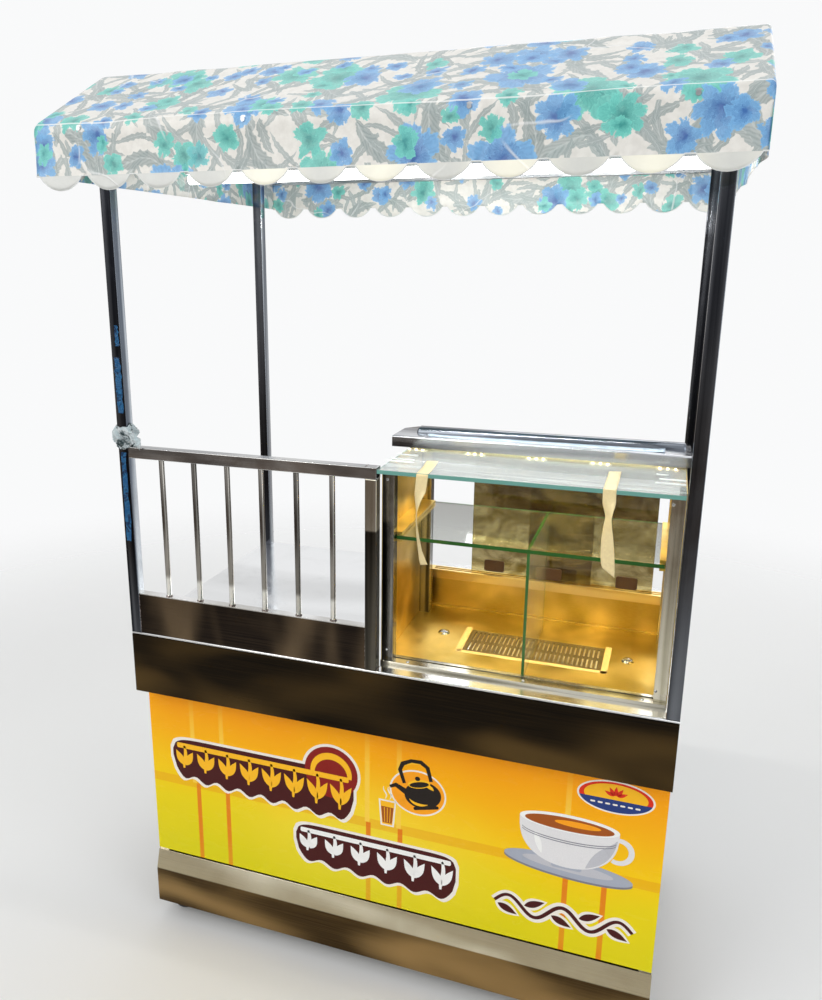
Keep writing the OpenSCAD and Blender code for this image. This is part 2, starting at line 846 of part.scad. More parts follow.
// Lamp power supply inside the cabinet, behind the switch box
module led_driver() color("dimgray") {
    y = back_y - sheet - 38;
    block(230, 390, y, back_y - sheet, box_z, box_z + 56);
    translate([230 - 10, y + 19, box_z + 28]) rotate([0, 90, 0]) cylinder(r = 7, h = 10 + mil);
    for (x = [245 : 12 : 375]) block(x, x + 4, y - 3, y + mil, box_z + 6, box_z + 50);
}

countertop();
fascia_front();
fascia_band();
cabinet_legs();
base_frame();
front_panel();
side_panels();
plinth_front();
plinth_sides();
bottom_deck();
cabinet_shelf();
door_hinges();
rear_door_left();
rear_door_right();
door_handle_left();
door_handle_right();
caster_plates();
caster_fork_fl();
caster_fork_fr();
caster_fork_rl();
caster_fork_rr();
caster_wheel_fl();
caster_wheel_fr();
caster_wheel_rl();
caster_wheel_rr();
brake_pedal_rl();
brake_pedal_rr();
corner_posts();
rail_top();
rail_post();
rail_bars();
kick_panel();
canopy_frame();
canopy_roof();
canopy_valance_front();
canopy_valance_rear();
canopy_sides();
canopy_screws();
light_batten();
light_tube();
case_sill();
case_posts();
case_floor();
floor_grille();
case_sides();
case_back_wall();
door_tracks();
glass_top();
glass_shelf();
glass_divider();
glass_door_left();
glass_door_right();
glass_pulls_left();
glass_pulls_right();
hood();
led_bar();
switch_box();
rocker_canopy();
rocker_display();
led_driver();
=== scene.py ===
import math
import random

import bmesh
import bpy
import numpy as np
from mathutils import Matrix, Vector


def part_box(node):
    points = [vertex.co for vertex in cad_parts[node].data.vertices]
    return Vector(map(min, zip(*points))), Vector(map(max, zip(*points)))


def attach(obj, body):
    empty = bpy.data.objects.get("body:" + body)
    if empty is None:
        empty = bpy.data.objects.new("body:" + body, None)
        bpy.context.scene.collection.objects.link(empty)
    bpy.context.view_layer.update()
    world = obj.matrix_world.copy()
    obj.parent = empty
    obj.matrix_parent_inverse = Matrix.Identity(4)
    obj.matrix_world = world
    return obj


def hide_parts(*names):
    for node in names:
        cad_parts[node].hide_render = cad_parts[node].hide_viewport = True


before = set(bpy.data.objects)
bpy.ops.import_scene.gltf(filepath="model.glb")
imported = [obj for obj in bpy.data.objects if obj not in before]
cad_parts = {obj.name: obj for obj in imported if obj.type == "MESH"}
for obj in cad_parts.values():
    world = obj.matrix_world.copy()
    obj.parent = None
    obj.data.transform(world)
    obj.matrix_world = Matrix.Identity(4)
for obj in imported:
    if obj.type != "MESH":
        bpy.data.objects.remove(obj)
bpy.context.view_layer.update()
random.seed(7)
MM = 0.001
LOBE = 0.026          # how deep the valance's scallops hang
PLINTH_FOLD = 0.145   # the height where the plinth's face folds back

# ---------------------------------------------------------------- camera

camera = bpy.data.objects.new("camera", bpy.data.cameras.new("camera"))
bpy.context.scene.collection.objects.link(camera)
bpy.context.scene.camera = camera
camera.data.sensor_width = 36.0
camera.data.lens = 30.49
camera.data.shift_x = 0.0373
camera.data.shift_y = -0.0144
camera.data.clip_start = 0.05
camera.location = (0.5359, -1.9249, 1.6569)
camera.rotation_mode = "XYZ"
camera.rotation_euler = (math.radians(90 - 14.593), math.radians(-0.196), math.radians(19.324))


# ---------------------------------------------------------------- shader nodes

class Sock:
    """A shader output that works in arithmetic."""

    def __init__(self, shader, socket):
        self.shader, self.socket = shader, socket


OPERATORS = {"add": "ADD", "sub": "SUBTRACT", "mul": "MULTIPLY", "truediv": "DIVIDE", "pow": "POWER"}
for word, op in OPERATORS.items():
    setattr(Sock, f"__{word}__", lambda a, b, op=op: a.shader.math(op, a, b))
    setattr(Sock, f"__r{word}__", lambda a, b, op=op: a.shader.math(op, b, a))


class Shader:
    """A material with a Principled shader, and short calls that add nodes to it."""

    def __init__(self, name):
        self.mat = bpy.data.materials.new(name)
        self.mat.use_nodes = True
        self.tree = self.mat.node_tree
        self.bsdf = self.tree.nodes["Principled BSDF"]
        self.out = self.tree.nodes["Material Output"]
        self.at, self.uv, self.normal = (self.node("TexCoord", {}, way) for way in ("Object", "UV", "Normal"))

    def put(self, socket, value):
        """Links a shader output to a socket, or sets the socket's own value."""
        if isinstance(value, Sock):
            self.tree.links.new(value.socket, socket)
        elif value is not None:
            opaque = (1.0,) if socket.type == "RGBA" and len(value) == 3 else ()
            socket.default_value = (*value, *opaque) if hasattr(value, "__len__") else value

    def node(self, kind, inputs, output=0, **settings):
        node = self.tree.nodes.new("ShaderNode" + kind)
        for key, value in settings.items():
            setattr(node, key, value)
        for key, value in inputs.items():
            self.put(node.inputs[key], value)
        return Sock(self, node.outputs[output])

    def math(self, op, a, b=0.0):
        return self.node("Math", {0: a, 1: b}, operation=op)

    def vmath(self, op, a, b=(0.0, 0.0, 0.0)):
        return self.node("VectorMath", {0: a, 1: b}, operation=op)

    def size(self, sock):
        return self.math("ABSOLUTE", sock)

    def length(self, *xyz):
        return self.node("VectorMath", {0: self.vec(*xyz)}, 1, operation="LENGTH")

    def xyz(self, vector):
        node = self.tree.nodes.new("ShaderNodeSeparateXYZ")
        self.put(node.inputs[0], vector)
        return [Sock(self, o) for o in node.outputs]

    def vec(self, x=0.0, y=0.0, z=0.0):
        return self.node("CombineXYZ", {0: x, 1: y, 2: z})

    def scaled(self, vector, sx, sy, sz):
        return self.vmath("MULTIPLY", vector, (sx, sy, sz))

    def noise(self, vector, scale, detail=2.0, rough=0.5, warp=0.0, colour=False):
        inputs = {"Vector": vector, "Scale": scale, "Detail": detail, "Roughness": rough, "Distortion": warp}
        return self.node("TexNoise", inputs, 1 if colour else 0)

    def cells(self, vector, scale, output="Distance", feature="F1", spread=1.0, flat=False):
        inputs = {"Vector": vector, "Scale": scale, "Randomness": spread}
        dimensions = "2D" if flat else "3D"
        return self.node("TexVoronoi", inputs, output, feature=feature, voronoi_dimensions=dimensions)

    def step(self, value, low, high):
        """0 at low and 1 at high, smooth between them. low may be above high."""
        inputs = {"Value": value, "From Min": low, "From Max": high, "To Min": 0.0, "To Max": 1.0}
        if low > high:
            inputs.update({"From Min": high, "From Max": low, "To Min": 1.0, "To Max": 0.0})
        return self.node("MapRange", inputs, interpolation_type="SMOOTHSTEP")

    def band(self, value, centre, half, soft):
        """1 within half of centre, falling to 0 over soft."""
        return self.step(self.size(value - centre), half + soft, half)

    def mix(self, factor, a, b, blend="MIX"):
        return self.node("Mix", {0: factor, 6: a, 7: b}, 2, data_type="RGBA", blend_type=blend)

    def ramp(self, factor, *stops):
        node = self.tree.nodes.new("ShaderNodeValToRGB")
        elements = node.color_ramp.elements
        while len(elements) < len(stops):
            elements.new(0.5)
        for element, (place, colour) in zip(elements, stops):
            element.position = place
            element.color = (*colour, 1.0) if hasattr(colour, "__len__") else (colour, colour, colour, 1.0)
        self.put(node.inputs[0], factor)
        return Sock(self, node.outputs[0])

    def bump(self, height, depth, strength=1.0, normal=None):
        """Relief from a height of 0 to 1, depth metres deep."""
        return self.node("Bump", {"Height": height, "Distance": depth, "Strength": strength, "Normal": normal})

    def set(self, **values):
        for key, value in values.items():
            self.put(self.bsdf.inputs[key.replace("_", " ")], value)
        return self.mat


def grey(value, tint=(1.0, 1.0, 1.0)):
    return tuple(value * t for t in tint)


# ---------------------------------------------------------------- materials

LENGTHWISE, UPRIGHT = (5, 500, 500), (500, 500, 5)   # how fine a metal's grain is along X, Y and Z


def metal(name, dark, light, rough=(0.12, 0.24), grain=LENGTHWISE, streak=(30, 30, 1.2), smear=9.0,
          contrast=(0.35, 0.65), scratch_share=0.4, painted_light_zone=None):
    """Sheet or tube steel: brushed grain along one axis, broad streaks of painted reflection, hand smears, fine
    scratches.

    Zones are painted light or shade: each is (axis, start, end, dark, light), and past end, along that axis, these two
    tones take over. Axis 3 is how far a face looks towards +X, and axis 4 is 1 on the outside of the display case and 0
    within it."""
    m = Shader(name)
    base = light
    # Painted light or shade: lit and shaded tones by height, by the way a face looks, or within the case.
    if painted_light_zone:
        along = m.xyz(m.at) + m.xyz(m.normal)[:1]
        if painted_light_zone[0] == 4:
            low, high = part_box("case_sides")
            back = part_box("case_back_wall")[1].y
            skin, deep = 0.0002, 0.0005
            within = m.step(along[0], low.x + skin, low.x + deep) * m.step(along[0], high.x - skin, high.x - deep)
            along.append(1.0 - within * m.step(along[1], back - skin, back - deep))
        past = m.step(along[painted_light_zone[0]], painted_light_zone[1], painted_light_zone[2])
        dark, light = m.mix(past, dark, painted_light_zone[3]), m.mix(past, light, painted_light_zone[4])
    # Broad streaks between the dark and light tones are painted reflection; at fine scales they make a mottle.
    streaks = m.noise(m.scaled(m.at, *streak), 1.0, 1.5, 0.45, 0.3)
    smears = m.noise(m.at, smear, 4.0, 0.6, 0.6)
    lines = m.noise(m.scaled(m.at, *grain), 1.0, 2.0, 0.6)
    scratch = m.cells(m.scaled(m.at, *(g * 0.12 for g in grain)), 1.0, feature="DISTANCE_TO_EDGE")
    scratches = m.step(scratch, 0.02, 0.0)
    tone = m.mix(m.step(streaks, *contrast), dark, light)
    tone = m.mix(m.step(smears, 0.52, 0.8) * 0.22, tone, grey(0.6, base))
    tone = m.mix(m.step(lines, 0.3, 0.75) * 0.12, tone, light)
    roughness = rough[0] + (rough[1] - rough[0]) * m.step(smears, 0.35, 0.7) + 0.10 * lines - 0.05
    relief = m.bump(lines * 0.6 + scratches * scratch_share, 0.00006, 0.5)
    return m.set(Base_Color=tone, Metallic=1.0, Roughness=roughness, Normal=relief)


def plastic(name, colour, rough=0.35, grain=900.0, depth=0.00005, worn=0.12, emission=None, strength=0.0, gloss=0.5):
    """Moulded plastic or enamel with a fine orange-peel surface and faint grime."""
    m = Shader(name)
    peel = m.noise(m.at, grain, 2.0)
    grime = m.noise(m.at, 22.0, 5.0, 0.65, 0.8)
    tone = m.mix(m.step(grime, 0.5, 0.8) * worn, colour, grey(0.45, colour))
    pale = tuple(min(1.0, c * 1.25 + 0.012) for c in colour)
    tone = m.mix(m.step(peel, 0.3, 0.8) * 0.35, tone, pale)
    if emission:
        m.set(Emission_Color=emission, Emission_Strength=strength)
    return m.set(Base_Color=tone, Roughness=rough + 0.18 * m.step(grime, 0.4, 0.75),
                 Normal=m.bump(peel, depth, 0.6), Specular_IOR_Level=gloss)


def glass(name, tint, edge, edge_axis, haze=0.0, streaks=None, mottle=None):
    """Clear sheet glass: broad faces clear, cut edges green, light finger smears. Lamps shine through it.

    haze is the milky share of the broad faces, streaks a front edge with pale long streaks, mottle a second tint."""
    m = Shader(name)
    side = m.step(m.size(m.xyz(m.normal)[edge_axis]), 0.9, 0.6)
    smear = m.noise(m.scaled(m.at, 5.0, 9.0, 6.0), 1.0, 5.0, 0.65, 1.0)
    dust = m.noise(m.at, 180.0, 2.0)
    milk = haze + 0.05 * m.step(dust, 0.62, 0.8)
    if streaks is not None:
        y = m.xyz(m.at)[1]
        lines = m.step(m.noise(m.scaled(m.at, 2.2, 150.0, 1.0), 1.0, 2.0, 0.5), 0.52, 0.68)
        milk = milk + 0.5 * lines * m.step(y, streaks + 0.10, streaks + 0.01)
    if mottle:
        spots = m.noise(m.scaled(m.at, 9.0, 9.0, 14.0), 1.0, 6.0, 0.68, 1.4)
        tint = m.mix(m.step(spots, 0.36, 0.62), tint, mottle)
    m.set(Base_Color=m.mix(side, tint, edge), Roughness=0.02 + 0.10 * m.step(smear, 0.55, 0.85) + 0.15 * side,
          Transmission_Weight=m.math("MAXIMUM", 1.0 - milk - 0.92 * side, 0.0), IOR=1.5)
    clear = m.node("BsdfTransparent", {0: m.mix(side, grey(0.93), grey(0.6, edge))})
    shadow = m.node("LightPath", {}, "Is Shadow Ray")
    m.put(m.out.inputs["Surface"], m.node("MixShader", {0: shadow, 1: Sock(m, m.bsdf.outputs[0]), 2: clear}))
    return m.mat


def blossom(m, point, size, petals, reach, shift, spread=0.7):
    """Flowers scattered over a plane, one to a cell: (inside, tone from 0 to 1, a random number for each flower)."""
    place = m.vmath("ADD", point, (shift, shift * 0.7, 0.0))
    centre = m.cells(place, 1.0 / size, "Position", spread=spread, flat=True)
    luck = m.xyz(m.cells(place, 1.0 / size, "Color", spread=spread, flat=True))
    dx, dy, _ = m.xyz(m.vmath("SUBTRACT", place, centre))
    radius = m.length(dx, dy) / (size * reach)
    turn = m.math("ARCTAN2", dy, dx) + luck[1] * 6.283
    inside, tone = None, None
    for ring, (scale, phase) in enumerate(((1.0, 0.0), (0.68, 1.57), (0.38, 0.6))):
        lobe = m.size(m.math("COSINE", turn * (petals / 2.0) + phase))
        teeth = m.size(m.math("SINE", turn * (petals * 2.5) + phase))
        rim = (0.55 + 0.45 * lobe ** 0.55 + 0.09 * teeth) * (scale * (0.75 + 0.35 * luck[2]))
        here = m.step(rim - radius, 0.0, 0.05)
        fold = m.step(lobe, 0.28, 0.0) * 0.4
        edge = m.step(rim - radius, 0.13 * scale, 0.02) * 0.45
        vein = m.size(m.math("SINE", turn * (petals * 3.5))) * 0.16
        own = 0.62 - 0.16 * ring - fold + edge + vein - 0.32 * m.step(radius / rim, 0.75, 0.15)
        inside = here if inside is None else inside
        tone = own if tone is None else m.node("Mix", {0: here, 2: tone, 3: own}, 0)
    return inside, tone, luck[0]


def fronds(m, point, size, long, wide, shift, bend):
    """Curved slender leaves scattered over a plane, one to a cell, with notched edges and a pale rib."""
    place = m.vmath("ADD", point, (shift, -shift * 0.6, 0.0))
    centre = m.cells(place, 1.0 / size, "Position", flat=True)
    luck = m.xyz(m.cells(place, 1.0 / size, "Color", flat=True))
    dx, dy, _ = m.xyz(m.vmath("SUBTRACT", place, centre))
    turn = luck[0] * 6.283
    cos, sin = m.math("COSINE", turn), m.math("SINE", turn)
    along = (dx * cos + dy * sin) / (size * long)
    across = (dy * cos - dx * sin) / (size * wide) - bend * (along * along - 0.4)
    notch = m.size(m.math("SINE", along * 13.0)) * 0.22
    half = m.math("MAXIMUM", 1.0 - along * along, 0.0) ** 0.8 * (1.0 - notch)
    off = m.size(across)
    inside = m.step(half - off, 0.0, 0.12)
    veins = m.size(m.math("SINE", along * 17.0 + off * 9.0))
    tone = 0.35 + 0.4 * m.step(off, 0.12, 0.02) + 0.3 * veins + 0.2 * luck[1]
    return inside, tone


def print_colour(m):
    """The floral print: grey leaves under teal and blue flowers on a cream ground."""
    wobble = m.noise(m.uv, 26.0, 5.0, 0.65, 0.0, True)
    shake = m.vmath("SUBTRACT", wobble, (0.5, 0.5, 0.5))
    point = m.vmath("ADD", m.uv, m.scaled(shake, 0.040, 0.040, 0.0))
    stem_point = m.vmath("ADD", m.uv, m.scaled(shake, 0.016, 0.016, 0.0))
    wash = m.noise(m.uv, 60.0, 3.0, 0.6)
    colour = m.mix(m.step(wash, 0.3, 0.7), (0.74, 0.72, 0.67), (0.83, 0.81, 0.76))
    leaf_dark, leaf_pale = (0.09, 0.15, 0.15), (0.50, 0.55, 0.54)
    for size, long, wide, shift, bend in (
        (0.080, 0.66, 0.10, 0.31, 1.6), (0.066, 0.62, 0.15, 1.17, -0.9), (0.092, 0.66, 0.09, 2.43, 2.2),
        (0.105, 0.60, 0.17, 4.40, -1.3), (0.070, 0.70, 0.09, 6.13, 1.2),
    ):
        inside, tone = fronds(m, stem_point, size, long, wide, shift, bend)
        colour = m.mix(inside * 0.85, colour, m.mix(tone, leaf_dark, leaf_pale))
    teal_dark, teal_pale = (0.01, 0.27, 0.25), (0.17, 0.66, 0.57)
    blue_dark, blue_pale = (0.01, 0.10, 0.38), (0.20, 0.48, 0.80)
    for size, petals, reach, shift, rule in (
        (0.150, 5, 0.35, 0.73, 0.72), (0.120, 7, 0.34, 3.10, 0.66), (0.082, 5, 0.33, 5.27, 0.74),
        (0.066, 6, 0.30, 7.91, 0.62),
    ):
        inside, tone, luck = blossom(m, point, size, petals, reach, shift)
        tone = m.step(tone + 0.35 * (wash - 0.5), -0.05, 1.05)
        teal = m.mix(tone, teal_dark, teal_pale)
        blue = m.mix(tone, blue_dark, blue_pale)
        shown = m.step(luck, 0.46, 0.48) * inside
        colour = m.mix(shown * 0.92, colour, m.mix(m.step(luck, rule, rule + 0.02), teal, blue))
    return colour, wash


def fabric(name, plain=None, pale=0.0, glow=0.0):
    """Coated cloth with a woven ground, creases and a soft gloss. It is printed, or one plain colour. Pale crease lines
    and a pale eave line are painted highlights, and a glow is painted lamp light.
    """
    m = Shader(name)
    u, v, _ = m.xyz(m.uv)
    if plain:
        wash = m.noise(m.uv, 40.0, 3.0, 0.6)
        colour = m.mix(wash, plain, grey(0.86, plain))
    else:
        colour, wash = print_colour(m)
    if pale:
        colour = m.mix(pale, colour, (0.84, 0.87, 0.90))
    drift = m.scaled(m.noise(m.uv, 7.0, 2.0, 0.5, 0.0, True), 0.10, 0.10, 0.0)
    crease = m.cells(m.vmath("ADD", m.uv, drift), 5.5, feature="DISTANCE_TO_EDGE", flat=True)
    line = m.step(crease, 0.018, 0.0) * m.step(m.noise(m.uv, 5.0), 0.50, 0.62)
    weave = m.math("SINE", u * 5200.0) * m.math("SINE", v * 5200.0) * 0.5 + 0.5
    folds = m.noise(m.uv, 14.0, 3.0, 0.55, 0.4)
    normal = m.bump(folds, 0.006, 0.35)
    normal = m.bump(line, 0.0012, 0.8, normal)
    normal = m.bump(weave, 0.00012, 0.35, normal)
    # The crease lines turn pale: a painted highlight where the cover's wrinkles catch the light.
    colour = m.mix(line * 0.55, colour, (0.95, 0.96, 0.96))
    if not plain:
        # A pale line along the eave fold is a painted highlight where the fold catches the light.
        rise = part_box("canopy_roof")[0].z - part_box("canopy_valance_front")[0].z - LOBE
        wander = 0.010 * m.noise(m.scaled(m.uv, 5.0, 0.0, 0.0), 1.0, 1.0) + 0.003 * m.math("SINE", u * 9.0)
        fold = m.band(v + wander, rise + 0.006, 0.0009, 0.0009)
        colour = m.mix(fold * 0.65, colour, (0.97, 0.97, 0.94))
    if glow:
        # Painted glow: the lobes are no lamp, and this emission stands in for the tube's light through them.
        lit = m.step(u, -0.36, -0.16) * (0.55 + 0.45 * m.math("SINE", u * 29.0))
        m.set(Emission_Color=m.mix(lit, grey(0.0), (1.0, 0.90, 0.55)), Emission_Strength=glow)
    return m.set(Base_Color=colour, Roughness=0.34 + 0.12 * weave + 0.10 * wash, Normal=normal,
                 Coat_Weight=0.25, Coat_Roughness=0.22, Sheen_Weight=0.08)


def printed_panel():
    """The front panel: an orange to yellow print with paired stripes. Its back is bare sheet."""
    m = Shader("front_print")
    x, _, z = m.xyz(m.at)
    low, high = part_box("front_panel")
    h = (z - low.z) / (high.z - low.z)
    drift = m.noise(m.scaled(m.at, 3.0, 3.0, 1.2), 1.0, 2.0, 0.5)
    height = h + (drift - 0.5) * 0.35
    colour = m.ramp(height, (0.02, (0.74, 0.67, 0.004)), (0.34, (0.86, 0.68, 0.004)), (0.52, (0.98, 0.62, 0.003)),
                    (0.74, (1.0, 0.47, 0.002)), (0.96, (1.0, 0.35, 0.002)))
    glow = m.step(m.length((x + 0.05) * 1.2, (z - 0.36) * 2.4), 0.55, 0.0)
    colour = m.mix(glow * 0.35, colour, (1.0, 0.83, 0.10))
    beam_z = low.z + (high.z - low.z) * 0.452
    beam = m.band(z, beam_z, 0.011, 0.002)
    colour = m.mix(beam * 0.42, colour, (0.82, 0.30, 0.005))
    above = m.step(z, beam_z, beam_z + 0.004)
    for places, tint, share in (
        ((-0.481, -0.400, -0.034, 0.043, 0.416, 0.497), (0.80, 0.17, 0.008), 1.0 - above),
        ((-0.491, -0.411, -0.037, 0.039, 0.412), (1.0, 0.66, 0.08), above * m.step(z, high.z, high.z - 0.16)),
    ):
        for place in places:
            fade = m.step(m.noise(m.scaled(m.at, 1.0, 1.0, 6.0), 1.0, 1.0), 0.25, 0.6)
            colour = m.mix(m.band(x, place, 0.005, 0.0015) * share * (0.5 + 0.4 * fade), colour, tint)
    colour = m.mix(m.step(m.cells(m.at, 900.0), 0.3, 0.7) * 0.07, colour, (0.75, 0.40, 0.02))
    scuff = m.noise(m.scaled(m.at, 8.0, 8.0, 20.0), 1.0, 5.0, 0.7, 1.2)
    front = m.step(m.xyz(m.normal)[1], -0.4, -0.6)
    colour = m.mix(front, m.mix(scuff, (0.42, 0.42, 0.41), (0.60, 0.60, 0.58)), colour)
    return m.set(Base_Color=colour, Roughness=0.22 + 0.22 * m.step(scuff, 0.5, 0.75),
                 Normal=m.bump(m.noise(m.at, 55.0, 2.0), 0.0004, 0.35), Specular_IOR_Level=0.16)


def dotted(name, dark, light, pitch):
    """Perforated sheet: rows of fine dark holes in a brushed plate."""
    m = Shader(name)
    x, y, _ = m.xyz(m.at)
    turn = 2 * math.pi / pitch
    holes = m.math("SINE", (x + y) * turn) * m.math("SINE", (x - y) * turn)
    soil = m.noise(m.at, 30.0, 4.0)
    tone = m.mix(m.step(soil, 0.3, 0.7), light, grey(0.7, light))
    tone = m.mix(m.step(holes, 0.1, 0.5) * 0.85, tone, dark)
    relief = m.bump(holes, 0.0003, 0.6)
    return m.set(Base_Color=tone, Metallic=0.5, Roughness=0.32 + 0.2 * soil, Normal=relief)


def crumpled(name, dark, pale, crest, alpha):
    """Clinging film: dark and clear where it lies flat, pale where its folds catch the light."""
    m = Shader(name)
    folds = m.noise(m.at, 30.0, 5.0, 0.7, 2.0)
    ridge = m.step(m.size(folds - 0.5), 0.05, 0.0)
    tone = m.mix(m.step(folds, 0.34, 0.66), dark, pale)
    tone = m.mix(ridge * 0.7, tone, crest)
    relief = m.bump(folds, 0.003, 0.8)
    return m.set(Base_Color=tone, Roughness=0.10 + 0.15 * folds, Normal=relief, Alpha=alpha)


def wheel(name, node):
    """A rubber tyre round a grey hub."""
    m = Shader(name)
    low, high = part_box(node)
    _, y, z = m.xyz(m.at)
    away = m.length(0.0, y - (low.y + high.y) / 2, z - (low.z + high.z) / 2)
    size = (high.z - low.z) / 2
    hub = m.step(away, size * 0.72, size * 0.68)
    soil = m.noise(m.at, 60.0, 5.0, 0.65)
    tyre = m.mix(m.step(soil, 0.45, 0.75), (0.022, 0.022, 0.023), (0.10, 0.095, 0.085))
    disc = m.mix(m.step(soil, 0.4, 0.8), (0.34, 0.34, 0.35), (0.17, 0.165, 0.16))
    relief = m.bump(m.noise(m.at, 420.0, 2.0), 0.0004, 0.6)
    return m.set(Base_Color=m.mix(hub, tyre, disc), Roughness=0.62 - 0.22 * hub, Normal=relief)


TUBE_STREAK = (55, 55, 1.1)
BAR_FOOT, RAIL_HIGH, KICK_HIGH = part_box("rail_bars")[0].z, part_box("rail_post")[1].z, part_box("kick_panel")[1].z
TRACKS_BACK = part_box("door_tracks")[1].y
CASE_MIDDLE = (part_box("case_posts")[0].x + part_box("case_posts")[1].x) / 2

